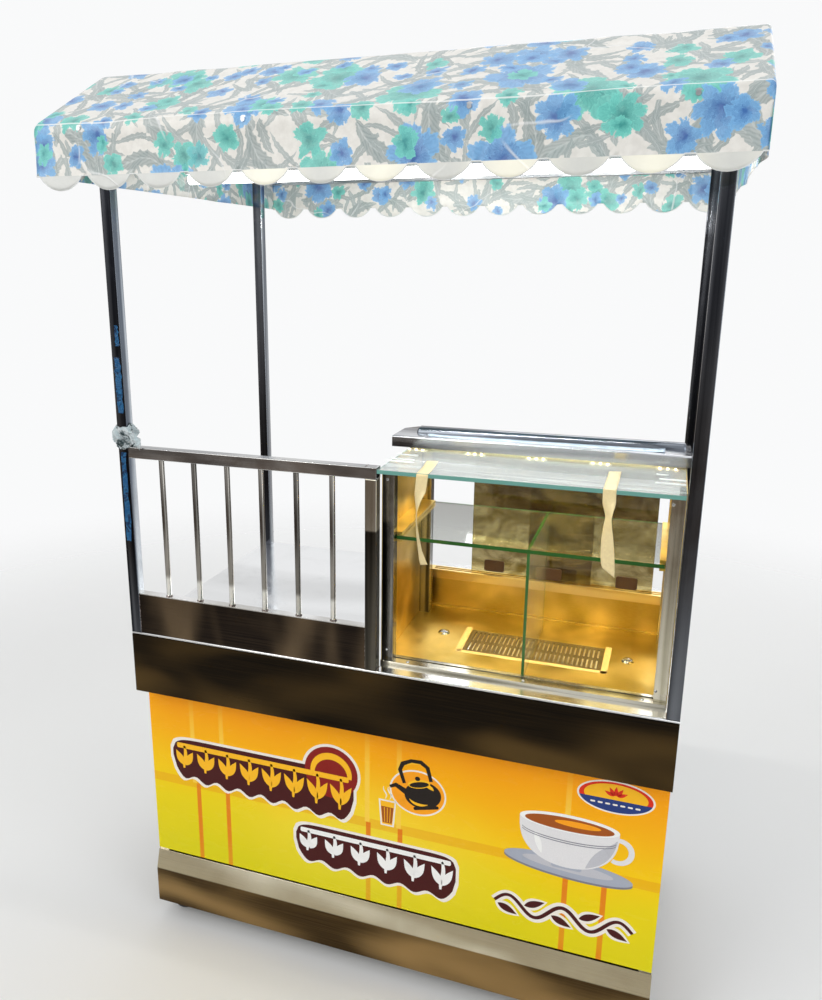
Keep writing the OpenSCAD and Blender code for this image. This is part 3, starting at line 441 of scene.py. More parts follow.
MATERIALS = {
    "steel": metal("brushed_steel", (0.24, 0.23, 0.22), (0.52, 0.50, 0.47), (0.14, 0.26), streak=(4, 20, 20)),
    # Bars: the dark and pale vertical streaks are painted reflection, and the paler tones near the foot are a painted
    # highlight.
    "bar": metal("bar_steel", (0.035, 0.034, 0.030), (0.30, 0.28, 0.25), (0.12, 0.22), (400, 400, 6),
                 painted_light_zone=(2, BAR_FOOT + 0.055, BAR_FOOT + 0.04, (0.30, 0.29, 0.26), (0.80, 0.79, 0.74))),
    "rail": metal("rail_steel", (0.33, 0.33, 0.33), (0.70, 0.69, 0.67), streak=(4, 20, 20)),
    # Hood bead: its near-black tones are a painted dark reflection, as on the posts.
    "bead": metal("bead_steel", (0.030, 0.034, 0.040), (0.20, 0.22, 0.25), (0.12, 0.22), streak=(1.6, 22, 22)),
    "sheet_steel": metal("sheet_steel", grey(0.57), (0.69, 0.69, 0.68), (0.2, 0.36), (500, 8, 8), (2, 6, 6)),
    "top_steel": metal("top_steel", (0.76, 0.76, 0.75), (0.95, 0.95, 0.94), (0.12, 0.26), (6, 500, 500), (1, 5, 5)),
    # Corner posts: near-black tones are a painted reflection of a dark room, and faces looking towards +X take paler
    # tones, painted light on that side.
    "post": metal("post_steel", (0.018, 0.020, 0.026), (0.17, 0.18, 0.20), (0.1, 0.2), UPRIGHT, TUBE_STREAK,
                  painted_light_zone=(3, 0.5, 0.9, (0.13, 0.15, 0.18), (0.66, 0.69, 0.72))),
    # Rail post: near-black tones are a painted dark reflection, and its pale top is a painted highlight.
    "rail_post": metal("rail_post_steel", (0.014, 0.013, 0.010), (0.11, 0.10, 0.08), (0.1, 0.2), UPRIGHT, TUBE_STREAK,
                       painted_light_zone=(2, RAIL_HIGH - 0.112, RAIL_HIGH - 0.106, (0.62, 0.58, 0.46), (0.92, 0.90, 0.80))),
    # Fascia: the near-black to brown tones are a painted dark reflection.
    "band": metal("band_steel", (0.010, 0.008, 0.006), (0.092, 0.056, 0.020), (0.14, 0.26), streak=(2.4, 3, 8),
                  smear=5.0, contrast=(0.42, 0.70)),
    # Kick panel: the dark brown tones are a painted reflection, and its pale top edge is a painted highlight.
    "kick": metal("kick_steel", (0.016, 0.012, 0.010), (0.17, 0.120, 0.072), streak=(9, 4, 2.5), smear=6.0,
                  contrast=(0.42, 0.72),
                  painted_light_zone=(2, KICK_HIGH - 0.003, KICK_HIGH - 0.001, (0.62, 0.60, 0.56), (0.97, 0.96, 0.94))),
    # Plinth: the gold-brown tones are a painted reflection of the warm floor and panel, and the pale tones above the
    # fold are painted light on the bevel.
    "plinth": metal("plinth_steel", (0.050, 0.030, 0.012), (0.42, 0.27, 0.11), (0.13, 0.24), streak=(2.2, 3, 9),
                    smear=4.0, contrast=(0.40, 0.72),
                    painted_light_zone=(2, PLINTH_FOLD - 0.002, PLINTH_FOLD + 0.002, (0.40, 0.34, 0.22), (0.86, 0.80, 0.62))),
    # Case: the gold within it is painted warm lamp light on plain steel; its outside takes plain grey.
    "case": metal("case_steel", (0.50, 0.34, 0.055), (0.92, 0.67, 0.19), (0.30, 0.46), (90, 400, 400), (9, 9, 9), 14.0,
                  (0.3, 0.72), 0.08, (4, 0.4, 0.6, (0.56, 0.55, 0.53), (0.68, 0.67, 0.65))),
    # Case posts: past the case's middle, the gold tones are painted warm lamp light.
    "case_trim": metal("case_trim_steel", grey(0.05), (0.46, 0.45, 0.42), grain=UPRIGHT, streak=(75, 75, 1.4),
                       painted_light_zone=(0, CASE_MIDDLE, CASE_MIDDLE + 0.02, (0.50, 0.46, 0.34), (0.95, 0.90, 0.74))),
    "case_sill": metal("case_sill_steel", (0.24, 0.22, 0.16), (0.68, 0.65, 0.55), streak=(2.5, 60, 60)),
    # Grille: its gold-brown is painted warm lamp light, as within the case.
    "grille": dotted("grille_plate", (0.04, 0.026, 0.006), (0.30, 0.20, 0.05), 0.005),
    "hood": metal("hood_steel", (0.10, 0.10, 0.11), (0.72, 0.73, 0.75), streak=(1.6, 22, 22)),
    "zinc": metal("zinc_plate", (0.38, 0.39, 0.40), (0.66, 0.67, 0.69), (0.28, 0.42), (180,) * 3, (40,) * 3),
    # Door tracks: the gold is painted warm lamp light, and the rearmost edge takes plain grey.
    "aluminium": metal("track_aluminium", (0.72, 0.47, 0.13), (0.97, 0.76, 0.32), (0.3, 0.42), (5, 600, 600),
                       (3, 30, 30), painted_light_zone=(1, TRACKS_BACK - 0.004, TRACKS_BACK - 0.002, (0.50, 0.50, 0.49),
                                          (0.74, 0.74, 0.73))),
    "frame": metal("frame_tube", (0.30, 0.31, 0.33), (0.60, 0.61, 0.63), (0.28, 0.4), (200,) * 3, (12,) * 3),
    "weld": metal("weld_bead", (0.05, 0.035, 0.03), (0.42, 0.36, 0.34), (0.3, 0.5), (700,) * 3, (260,) * 3),
    "chrome": metal("screw_steel", (0.35, 0.36, 0.37), (0.80, 0.81, 0.82), (0.12, 0.22), (900,) * 3, (150,) * 3),
    "enamel": plastic("white_enamel", (0.82, 0.83, 0.83), 0.3),
    "white": plastic("white_plastic", (0.80, 0.79, 0.76), 0.35),
    "pull": plastic("brown_plastic", (0.055, 0.026, 0.014), 0.38),
    "driver": plastic("driver_case", (0.07, 0.07, 0.075), 0.5, 500.0, 0.0002),
    "red": plastic("pedal_paint", (0.48, 0.035, 0.03), 0.32, 700.0, 0.0001, 0.3),
    "lamp": plastic("lamp_diffuser", (0.95, 0.94, 0.90), 0.4, emission=(1.0, 0.98, 0.93), strength=6.0),
    "chip": plastic("lamp_lens", (0.98, 0.90, 0.70), 0.2, emission=(1.0, 0.80, 0.42), strength=18.0),
    "tab": plastic("clear_tab", (0.90, 0.93, 0.92), 0.25),
    "tape": plastic("packing_tape", (0.84, 0.68, 0.36), 0.34, 240.0, 0.0004, 0.25),
    "film": plastic("blue_film", (0.56, 0.68, 0.81), 0.22, 130.0, 0.0004),
    "floor_tape": plastic("floor_tape", (0.82, 0.58, 0.20), 0.42, 240.0, 0.0003, 0.3),
    "wrap": crumpled("clear_wrap", (0.02, 0.045, 0.05), (0.66, 0.77, 0.80), (0.93, 0.96, 0.98), 0.85),
    "blue_film": crumpled("post_blue_film", (0.003, 0.022, 0.070), (0.008, 0.09, 0.24), (0.03, 0.20, 0.42), 0.95),
    "panel": printed_panel(),
    "print": fabric("canopy_print"),
    "print_inner": fabric("canopy_inner", pale=0.04),
    # Valance lobes: the glow is painted lamp light; the lobes are no lamp.
    "lobe": fabric("canopy_lobe", plain=(0.70, 0.71, 0.68), glow=0.32),
    "piping": fabric("canopy_piping", plain=(0.80, 0.82, 0.80)),
    "glass_top": glass("top_glass", (0.93, 0.985, 0.965), (0.15, 0.36, 0.31), 2, 0.18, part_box("glass_top")[0].y),
    "glass_shelf": glass("shelf_glass", (0.93, 0.98, 0.93), (0.020, 0.105, 0.014), 2),
    "glass_wall": glass("wall_glass", (0.90, 0.90, 0.74), (0.032, 0.125, 0.025), 0, 0.07),
    "glass_door": glass("door_glass", (0.24, 0.165, 0.035), (0.30, 0.45, 0.25), 1, 0.05, mottle=(0.62, 0.52, 0.24)),
}
INKS = {
    "brown": (0.060, 0.004, 0.004), "black": (0.014, 0.009, 0.007), "cream": (0.88, 0.82, 0.74),
    "white": (0.90, 0.90, 0.88), "china": (0.76, 0.75, 0.76), "gold": (1.0, 0.50, 0.015), "orange": (1.0, 0.36, 0.01),
    "tea": (0.36, 0.085, 0.010), "red": (0.72, 0.03, 0.01), "navy": (0.020, 0.045, 0.20), "grey": (0.38, 0.41, 0.49),
    "slate": (0.20, 0.20, 0.24), "shade": (0.52, 0.52, 0.56), "maroon": (0.25, 0.010, 0.006),
}
for name, colour in INKS.items():
    MATERIALS["ink_" + name] = plastic("ink_" + name, colour, 0.3, worn=0.2, gloss=0.18)
CORNERS = ["fl", "fr", "rl", "rr"]
WHEELS = ["caster_wheel_" + corner for corner in CORNERS]
for name in WHEELS:
    MATERIALS[name] = wheel(name + "_rubber", name)

NODE_LOOKS = {
    "top_steel": ["countertop"],
    "band": ["fascia_front", "fascia_band"],
    "sheet_steel": ["cabinet_legs", "base_frame", "side_panels", "bottom_deck", "cabinet_shelf", "rear_door_left",
                    "rear_door_right"],
    "rail": ["rail_top"],
    "steel": ["door_handle_left", "door_handle_right"],
    "bar": ["rail_bars"],
    "post": ["corner_posts"],
    "rail_post": ["rail_post"],
    "kick": ["kick_panel"],
    "plinth": ["plinth_front", "plinth_sides"],
    "case": ["case_floor", "case_sides", "case_back_wall"],
    "case_trim": ["case_posts"],
    "case_sill": ["case_sill"],
    "grille": ["floor_grille"],
    "hood": ["hood"],
    "zinc": ["canopy_screws", "door_hinges", "caster_plates", *("caster_fork_" + corner for corner in CORNERS)],
    "aluminium": ["door_tracks"],
    "frame": ["canopy_frame"],
    "enamel": ["light_batten", "led_bar"],
    "white": ["switch_box", "rocker_canopy", "rocker_display"],
    "pull": ["glass_pulls_left", "glass_pulls_right"],
    "driver": ["led_driver"],
    "red": ["brake_pedal_rl", "brake_pedal_rr"],
    **{name: [name] for name in WHEELS},
    "lamp": ["light_tube"],
    "panel": ["front_panel"],
    "glass_top": ["glass_top"],
    "glass_shelf": ["glass_shelf"],
    "glass_wall": ["glass_divider"],
    "glass_door": ["glass_door_left", "glass_door_right"],
}
SHARP = {"glass_top", "glass_shelf", "glass_divider", "glass_door_left", "glass_door_right", "floor_grille",
         "light_tube"}
BEVELS = {"countertop": 1.0, "corner_posts": 2.2, "rail_post": 2.2, "rail_top": 2.2, "canopy_frame": 1.8}


def soften(obj, width):
    """Rounds an object's edges. The width is in millimetres."""
    bevel = obj.modifiers.new("bevel", "BEVEL")
    bevel.width = width * MM
    bevel.segments = 2
    bevel.limit_method = "ANGLE"
    return bevel


def thicken(obj, thick, **settings):
    """Gives a sheet its thickness, in metres."""
    solid = obj.modifiers.new("thickness", "SOLIDIFY")
    solid.thickness = thick
    for key, value in settings.items():
        setattr(solid, key, value)


for look, names in NODE_LOOKS.items():
    for name in names:
        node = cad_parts[name]
        node.data.materials.clear()
        node.data.materials.append(MATERIALS[look])
        if name not in SHARP:
            weld = node.modifiers.new("weld", "WELD")
            weld.merge_threshold = 0.00001
            bevel = soften(node, BEVELS.get(name, 0.5))
            bevel.angle_limit = math.radians(40)
            bevel.harden_normals = True

# ---------------------------------------------------------------- mesh helpers

CORNER = Vector((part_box("countertop")[0].x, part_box("countertop")[0].y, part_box("countertop")[1].z))
PANEL_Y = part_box("front_panel")[0].y


def spot(x, y, z):
    """A point in millimetres from the front left top corner of the counter."""
    return CORNER + Vector((x, y, z)) * MM


def on_panel(u, v, w):
    """A point on the front panel, w millimetres in front of it."""
    return Vector((CORNER.x + u * MM, PANEL_Y - w * MM, CORNER.z + v * MM))


class Shape:
    """Collects faces for one piece."""

    def __init__(self):
        self.verts, self.faces, self.looks = [], [], []

    def add(self, verts, faces, look=0):
        start = len(self.verts)
        self.verts += [tuple(v) for v in verts]
        self.faces += [tuple(i + start for i in face) for face in faces]
        self.looks += [look] * len(faces)

    def slab(self, outline, place, low, high, look=0):
        """A plate with this outline in (u, v), from w = low to w = high."""
        n = len(outline)
        verts = [place(u, v, low) for u, v in outline] + [place(u, v, high) for u, v in outline]
        ring = [(i, (i + 1) % n, n + (i + 1) % n, n + i) for i in range(n)]
        self.add(verts, [tuple(range(n))[::-1], tuple(range(n, 2 * n)), *ring], look)

    def grid(self, verts, columns, look=0, closed=False):
        """Points in rows of this many columns, joined by faces. A closed grid is a tube with its ends capped."""
        rows, faces = len(verts) // columns, []
        for i in range(rows - 1):
            for j in range(columns if closed else columns - 1):
                a, b, k = i * columns, (i + 1) * columns, (j + 1) % columns
                faces.append((a + j, a + k, b + k, b + j))
        if closed:
            faces += [tuple(range(columns))[::-1], tuple(range(b, b + columns))]
        self.add(verts, faces, look)

    def lathe(self, profile, centre, axis, sides=20, look=0):
        """A turned shape. The profile's points are (radius, height), in metres, from the base up."""
        axis = Vector(axis).normalized()
        side = axis.orthogonal().normalized()
        other = axis.cross(side)
        verts = []
        for radius, height in profile:
            for i in range(sides):
                a = 2 * math.pi * i / sides
                verts.append(Vector(centre) + axis * height + (side * math.cos(a) + other * math.sin(a)) * radius)
        self.grid(verts, sides, look, closed=True)

    def sweep(self, path, radius, sides=8, look=0, lumps=0.0):
        """A round bead along a path, with closed ends."""
        path = [Vector(p) for p in path]
        up = (path[1] - path[0]).normalized().orthogonal().normalized()
        verts = []
        for i, point in enumerate(path):
            ahead = (path[min(i + 1, len(path) - 1)] - path[max(i - 1, 0)]).normalized()
            up = (up - ahead * up.dot(ahead)).normalized()
            side = ahead.cross(up)
            r = radius * (1 + lumps * math.sin(i * 2.1) + lumps * random.uniform(-0.5, 0.5))
            for k in range(sides):
                a = 2 * math.pi * k / sides
                verts.append(point + (up * math.cos(a) + side * math.sin(a)) * r)
        self.grid(verts, sides, look, closed=True)

    def screw(self, centre, axis, radius=3.2, height=1.6, look=0):
        """A round screw head with a shallow cross recess round its middle."""
        r, h = radius * MM, height * MM
        profile = [(r, 0), (r, h * 0.3), (r * 0.85, h * 0.75), (r * 0.5, h), (r * 0.32, h), (r * 0.22, h * 0.55)]
        self.lathe(profile, centre, axis, 14, look)


def piece(name, shape, looks, body="cart", smooth=35.0, bevel=0.0):
    """Makes an object of a shape, with outward normals, that rides on a body."""
    mesh = bpy.data.meshes.new(name)
    mesh.from_pydata([tuple(v) for v in shape.verts], [], shape.faces)
    for look in looks:
        mesh.materials.append(MATERIALS[look])
    mesh.polygons.foreach_set("material_index", shape.looks)
    obj = bpy.data.objects.new(name, mesh)
    bpy.context.scene.collection.objects.link(obj)
    bm = bmesh.new()
    bm.from_mesh(mesh)
    bmesh.ops.recalc_face_normals(bm, faces=bm.faces)
    bm.to_mesh(mesh)
    bm.free()
    mesh.polygons.foreach_set("use_smooth", [True] * len(mesh.polygons))
    mesh.set_sharp_from_angle(angle=math.radians(smooth))
    if bevel:
        soften(obj, bevel)
    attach(obj, body)
    return obj


def oval(x, y, rx, ry, count=40, start=0.0, end=360.0):
    full = abs(end - start) >= 360.0
    steps = count if full else count + 1
    turns = [math.radians(start + (end - start) * i / count) for i in range(steps)]
    return [(x + rx * math.cos(a), y + ry * math.sin(a)) for a in turns]


def arc(x, y, rx, ry, start, end, step=8):
    """Points along a stretch of an oval, a whole number of degrees apart."""
    turns = [math.radians(a) for a in range(start, end, step)]
    return [(x + rx * math.cos(a), y + ry * math.sin(a)) for a in turns]


def rounded_box(x0, y0, x1, y1, r):
    corners = (x1 - r, y1 - r), (x0 + r, y1 - r), (x0 + r, y0 + r), (x1 - r, y0 + r)
    return [point for k, corner in enumerate(corners) for point in oval(*corner, r, r, 6, 90 * k, 90 * k + 90)]


def strip(path, width):
    """The outline of a line of this width along a path, thinner at its ends where width is a pair."""
    left, right = [], []
    middle, end = width if hasattr(width, "__len__") else (width, width)
    for i, (x, y) in enumerate(path):
        x0, y0 = path[max(i - 1, 0)]
        x1, y1 = path[min(i + 1, len(path) - 1)]
        d = math.hypot(x1 - x0, y1 - y0) or 1.0
        w = end + (middle - end) * math.sin(math.pi * i / (len(path) - 1))
        nx, ny = -(y1 - y0) / d * w / 2, (x1 - x0) / d * w / 2
        left.append((x + nx, y + ny))
        right.append((x - nx, y - ny))
    return left + right[::-1]


# ---------------------------------------------------------------- canopy

def rounded_line(points, radii, step):
    """A line through the points with its corners rounded, as evenly spaced points."""
    dense = [np.array(points[0], float)]
    for i in range(1, len(points) - 1):
        a, b, c = (np.array(points[k], float) for k in (i - 1, i, i + 1))
        u, v = (a - b) / np.linalg.norm(a - b), (c - b) / np.linalg.norm(c - b)
        half = math.acos(float(np.clip(u @ v, -1, 1))) / 2
        cut = radii[i - 1] / math.tan(half)
        start, end = b + u * cut, b + v * cut
        centre = b + (u + v) / np.linalg.norm(u + v) * radii[i - 1] / math.sin(half)
        for t in np.linspace(0, 1, 9):
            p = start * (1 - t) + end * t - centre
            dense.append(centre + p / np.linalg.norm(p) * radii[i - 1])
    dense.append(np.array(points[-1], float))
    dense = np.array(dense)
    along = np.concatenate([[0], np.cumsum(np.linalg.norm(np.diff(dense, axis=0), axis=1))])
    count = max(2, round(along[-1] / step))
    even = np.linspace(0, along[-1], count + 1)
    return np.stack([np.interp(even, along, dense[:, k]) for k in range(2)], 1), even


def canopy():
    low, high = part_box("canopy_roof")
    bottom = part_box("canopy_valance_front")[0].z
    side_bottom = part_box("canopy_sides")[0].z
    half_x, half_y, eave, crown = high.x, high.y, low.z, high.z
    crown_y = half_y - 0.224
    scallops, lobe, drop, seam_r = 12, LOBE, eave - bottom, 0.008
    pitch = 2 * half_x / scallops
    r = pitch / 2
    notch = eave - drop + lobe
    line, along = rounded_line(
        [(-half_y, notch), (-half_y, eave), (-crown_y, crown), (crown_y, crown), (half_y, eave), (half_y, notch)],
        [0.010, 0.055, 0.055, 0.010], 0.0085,
    )
    steps = [-1, -0.858, -0.80, -0.70, -0.56, -0.42, -0.28, -0.14, 0, 0.14, 0.28, 0.42, 0.56, 0.70, 0.80, 0.858]
    xs = np.array([-half_x + (i + 0.5 + s / 2) * pitch for i in range(scallops) for s in steps] + [half_x])
    dx = (xs + half_x) % pitch - r
    hang = np.maximum(0.0, lobe - r + np.sqrt(np.maximum(r * r - dx * dx, 0.0)))
    hang[-1] = 0.0
    rng = np.random.default_rng(11)
    waves = [(rng.uniform(6, 26), rng.uniform(0, 6.28), rng.uniform(0.5, 1.0)) for _ in range(6)]
    screws = [spot(x, 0, 0).x for x in (70, 411, 810, 1149)]
    rafters = [-half_x + 0.01, -0.210, 0.210, half_x - 0.01]

    def sway(x, side):
        return sum(a * np.sin(k * x + p + side) for k, p, a in waves) / 3.0

    def relief(x, y, z):
        """How the cloth leaves the plain fold: waves low on the valances, puckers at the screws, sag between tubes."""
        move = np.zeros_like(np.stack([x, y, z], -1))
        deep = np.clip((eave - 0.018 - z) / drop, 0, 1)
        front = np.abs(y) > half_y - 0.002
        out = 0.0055 * sway(x, np.sign(y)) * deep ** 1.3
        for place in screws:
            far = np.abs(x - place)
            down = np.clip((eave - 0.012 - z) / 0.10, 0, 1)
            out = out + 0.0042 * np.exp(-((far - 0.020) / 0.010) ** 2) * np.exp(-((z - eave + 0.02) / 0.03) ** 2)
            out = out - 0.0016 * np.exp(-(far / 0.006) ** 2) * down
            out = out + 0.0045 * np.exp(-((x - place - 0.012 * down) / 0.009) ** 2) * np.sin(np.pi * down) * 0.8
        band = np.exp(-((z - (eave - 0.017)) / 0.011) ** 4) * 0.0014
        move[..., 1] += np.where(front, np.sign(y) * (np.maximum(out, -0.0004) + band), 0.0)
        between = np.zeros_like(x)
        for a, b in zip(rafters, rafters[1:]):
            t = np.clip((x - a) / (b - a), 0, 1)
            between = np.maximum(between, np.sin(np.pi * t) ** 1.5)
        rise = np.clip((z - eave) / (crown - eave), 0, 1)
        slope = np.sin(np.pi * rise) * (np.abs(y) > crown_y)
        flat = np.cos(np.pi * np.clip(y / (crown_y + 0.02), -1, 1) / 2) * (np.abs(y) <= crown_y + 0.02)
        ripple = 0.0012 * np.sin(34 * x + 9 * y) * np.sin(21 * y + 3 * x)
        move[..., 2] -= between * (0.0050 * slope + 0.0060 * flat) + ripple * between * (rise > 0.05)
        return move

    shape, uvs = Shape(), []

    def grid(points, uv, look):
        """points is rows by columns by 3."""
        shape.grid(points.reshape(-1, 3).tolist(), points.shape[1], look)
        uvs.extend(uv.reshape(-1, 2).tolist())

    ys, zs = line[:, 0][:, None], line[:, 1][:, None]
    roof = np.clip((zs - (eave - 0.010)) / 0.008, 0, 1)
    narrow = (half_x - seam_r * roof) / half_x
    x_grid = xs[None, :] * narrow
    y_grid, z_grid = np.broadcast_to(ys, x_grid.shape), np.broadcast_to(zs, x_grid.shape)
    s_grid = np.broadcast_to(along[:, None], x_grid.shape)
    points = np.stack([x_grid, y_grid, z_grid], -1)
    points = points + relief(x_grid, y_grid, z_grid)
    grid(points, np.stack([x_grid, s_grid], -1), 0)
    for end, sign, look in ((0, -1.0, 1), (-1, 1.0, 0)):
        t = np.linspace(0, 1, 6)[:, None]
        base = points[end][None, :, :]
        lobes = np.repeat(base, 6, 0)
        lobes[..., 2] = base[..., 2] - t * hang[None, :]
        lobes[..., 1] += sign * 0.0022 * np.sin(t * 1.5) * np.cos(np.pi * dx / pitch)[None, :]
        s = s_grid[end][None, :] + sign * t * hang[None, :]
        uv = np.stack([np.repeat(x_grid[end][None, :], 6, 0), s], -1)
        grid(lobes, uv, look)
    on_roof = np.where(line[:, 1] >= eave - 0.0101)[0]
    arc = seam_r * math.pi / 2
    for sign, col in ((-1.0, 0), (1.0, -1)):
        rows, rows_uv = [], []
        for i in on_roof:
            edge = points[i, col]
            length = arc + max(edge[2] - seam_r - side_bottom, 0.02)
            down = np.concatenate([np.linspace(0, arc, 5), np.linspace(arc, length, 16)[1:]])
            a = np.clip(down / seam_r, 0, math.pi / 2)
            inset = half_x - seam_r + seam_r * np.sin(a)
            z = edge[2] - seam_r * (1 - np.cos(a)) - np.maximum(down - arc, 0)
            share = np.clip((down - arc) / (length - arc), 0, 1)
            swing = 0.0045 * np.sin(15 * edge[1] + 1.3 * sign) * share ** 1.6 + 0.002 * np.sin(41 * edge[1]) * share
            fade = min(1.0, (half_y - abs(edge[1])) / 0.05)
            out = sign * (inset + np.maximum(swing * fade, -0.0004))
            rows.append(np.stack([out, np.full_like(down, edge[1]), z], -1))
            rows_uv.append(np.stack([sign * (half_x - seam_r + down), np.full_like(down, along[i])], -1))
        grid(np.array(rows), np.array(rows_uv), 0)
    mesh = bpy.data.meshes.new("canopy_fabric")
    mesh.from_pydata(shape.verts, [], shape.faces)
    mesh.polygons.foreach_set("material_index", shape.looks)
    layer = mesh.uv_layers.new(name="flat")
    corner = np.zeros(len(mesh.loops), int)
    mesh.loops.foreach_get("vertex_index", corner)
    layer.data.foreach_set("uv", np.array(uvs, float)[corner].ravel())
    for look in ("print", "lobe", "print_inner", "lobe"):
        mesh.materials.append(MATERIALS[look])
    bm = bmesh.new()
    bm.from_mesh(mesh)
    bmesh.ops.remove_doubles(bm, verts=bm.verts, dist=0.00002)
    bmesh.ops.dissolve_degenerate(bm, edges=bm.edges, dist=0.00002)
    area = sum(f.calc_area() for f in bm.faces)
    bmesh.ops.recalc_face_normals(bm, faces=bm.faces)
    top = max(bm.faces, key=lambda f: f.calc_center_median().z)
    if top.normal.z < 0:
        bmesh.ops.reverse_faces(bm, faces=bm.faces)
    bm.to_mesh(mesh)
    bm.free()
    mesh.polygons.foreach_set("use_smooth", [True] * len(mesh.polygons))
    obj = bpy.data.objects.new("canopy_fabric", mesh)
    bpy.context.scene.collection.objects.link(obj)
    thicken(obj, 0.0009, offset=-1.0, material_offset=2, material_offset_rim=0)
    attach(obj, "cart")
    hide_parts("canopy_roof", "canopy_valance_front", "canopy_valance_rear", "canopy_sides")
    piping = Shape()
    for end, sign in ((0, -1.0), (-1, 1.0)):
        path = [Vector(p) + Vector((0, sign * 0.0006, -h)) for p, h in zip(points[end], hang)]
        piping.sweep(path, 0.0013, 6, 0)
    hem = piece("canopy_piping", piping, ["piping"])


canopy()


# ---------------------------------------------------------------- railing details

def bead_ring(shape, centre, radius, minor, lumps=0.3):
    count = 18
    turns = [2 * math.pi * i / count for i in range(count + 1)]
    path = [Vector(centre) + Vector((math.cos(a), math.sin(a), 0)) * radius for a in turns]
    shape.sweep(path, minor, 6, 0, lumps)


def bead_line(shape, a, b, minor):
    a, b = Vector(a), Vector(b)
    count = max(4, int((b - a).length / 0.003))
    shape.sweep([a + (b - a) * i / count for i in range(count + 1)], minor, 6, 0, 0.25)


RAIL, BARS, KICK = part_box("rail_top"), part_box("rail_bars"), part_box("kick_panel")
POST_L, POST_R = RAIL[0].x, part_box("rail_post")[1].x
BAR_R = (BARS[1].y - BARS[0].y) / 2
BAR_X = [BARS[0].x + BAR_R + i * (BARS[1].x - BARS[0].x - 2 * BAR_R) / 5 for i in range(6)]
BAR_Y = (BARS[0].y + BARS[1].y) / 2


def rail_welds():
    shape = Shape()
    for x in BAR_X:
        bead_ring(shape, (x, BAR_Y, BARS[0].z + 0.0006), BAR_R + 0.0004, 0.0013)
        bead_ring(shape, (x, BAR_Y, BARS[1].z - 0.0006), BAR_R + 0.0003, 0.0010)
    for x in (POST_L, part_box("rail_post")[0].x):
        for z in (RAIL[0].z, RAIL[1].z):
            bead_line(shape, (x, RAIL[0].y + 0.002, z), (x, RAIL[1].y - 0.002, z), 0.0009)
    for x in (KICK[0].x, KICK[1].x):
        bead_line(shape, (x, KICK[0].y, KICK[0].z + 0.004), (x, KICK[0].y, KICK[1].z - 0.004), 0.0011)
    for x in (-0.585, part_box("rail_post")[0].x, POST_R, 0.585):
        bead_line(shape, (x, CORNER.y + 0.001, CORNER.z), (x, CORNER.y + 0.024, CORNER.z), 0.0012)
    piece("rail_welds", shape, ["weld"], smooth=60)


rail_welds()


# ---------------------------------------------------------------- display case details

HOOD, TOP, FLOOR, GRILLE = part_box("hood"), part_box("glass_top"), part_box("case_floor"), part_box("floor_grille")
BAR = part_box("led_bar")


def lamps():
    shape = Shape()
    middle = (BAR[0].x + BAR[1].x) / 2
    y = (BAR[0].y + BAR[1].y) / 2
    dome = [(0.0027, 0), (0.0027, 0.0010), (0.0023, 0.0018), (0.0014, 0.0025), (0.0005, 0.0028)]
    for i in range(-2, 3):
        for j in (-1, 0, 1):
            shape.lathe(dome, (middle + i * 0.136 + j * 0.0155, y, BAR[0].z), (0, 0, -1), 14)
    piece("lamp_lenses", shape, ["chip"], smooth=60)


def case_fittings():
    washers = Shape()
    cup = [(0.0135, 0), (0.0135, 0.0012), (0.0105, 0.0040), (0.0070, 0.0044), (0.0058, 0.0022), (0.0052, 0.0022),
           (0.0045, 0.0050), (0.0020, 0.0056)]
    for x, y in ((696, 237), (1111, 226)):
        washers.lathe(cup, (spot(x, y, 0).x, spot(x, y, 0).y, FLOOR[1].z), (0, 0, 1), 24)
    for x in (664, 913, 1148):
        washers.screw(spot(x, 50, 8), (0, 0, 1), 4.0, 2.2)
    for x in (615, 1172):
        for z in (30, 410):
            washers.screw(spot(x, 50, z), (0, -1, 0), 3.0, 1.4)
    piece("case_screws", washers, ["chrome"], smooth=40)
    border = Shape()
    x0, y0, x1, y1 = GRILLE[0].x, GRILLE[0].y, GRILLE[1].x, GRILLE[1].y
    w, z = 0.012, FLOOR[1].z

    def flat(u, v, h):
        return Vector((u, v, z + h))
    for a, b, c, d, lean in ((x0 - w, y0 - w, x1 + w, y0, 0.002), (x0 - w * 1.2, y0 - 0.006, x0, y1 + w, -0.003),
                             (x1, y0 - 0.012, x1 + w * 1.1, y1 + w * 0.8, 0.002)):
        steps = 14
        low = [(a + (c - a) * i / steps, b + random.uniform(-0.0007, 0.0007)) for i in range(steps + 1)]
        high = [(a + lean + (c - a) * i / steps, d + random.uniform(-0.0007, 0.0007)) for i in range(steps, -1, -1)]
        border.slab(low + high, flat, 0.00005, 0.00035)
    piece("grille_tape", border, ["floor_tape"], smooth=40)
    clips = Shape()
    for x0, x1, y0, y1 in ((600, 660, 82, 90), (600, 655, 104, 112), (603, 650, 150, 156),
                           (1136, 1192, 78, 86), (1142, 1192, 112, 119), (1136, 1160, 152, 158)):
        def on_glass(u, v, h):
            return spot(u, v, 0) * 1.0 + Vector((0, 0, TOP[1].z - CORNER.z + h * MM))
        clips.slab(rounded_box(x0, y0, x1, y1, 3.2), on_glass, 0.0, 1.3)
    piece("glass_tabs", clips, ["tab"], smooth=40, bevel=0.35)


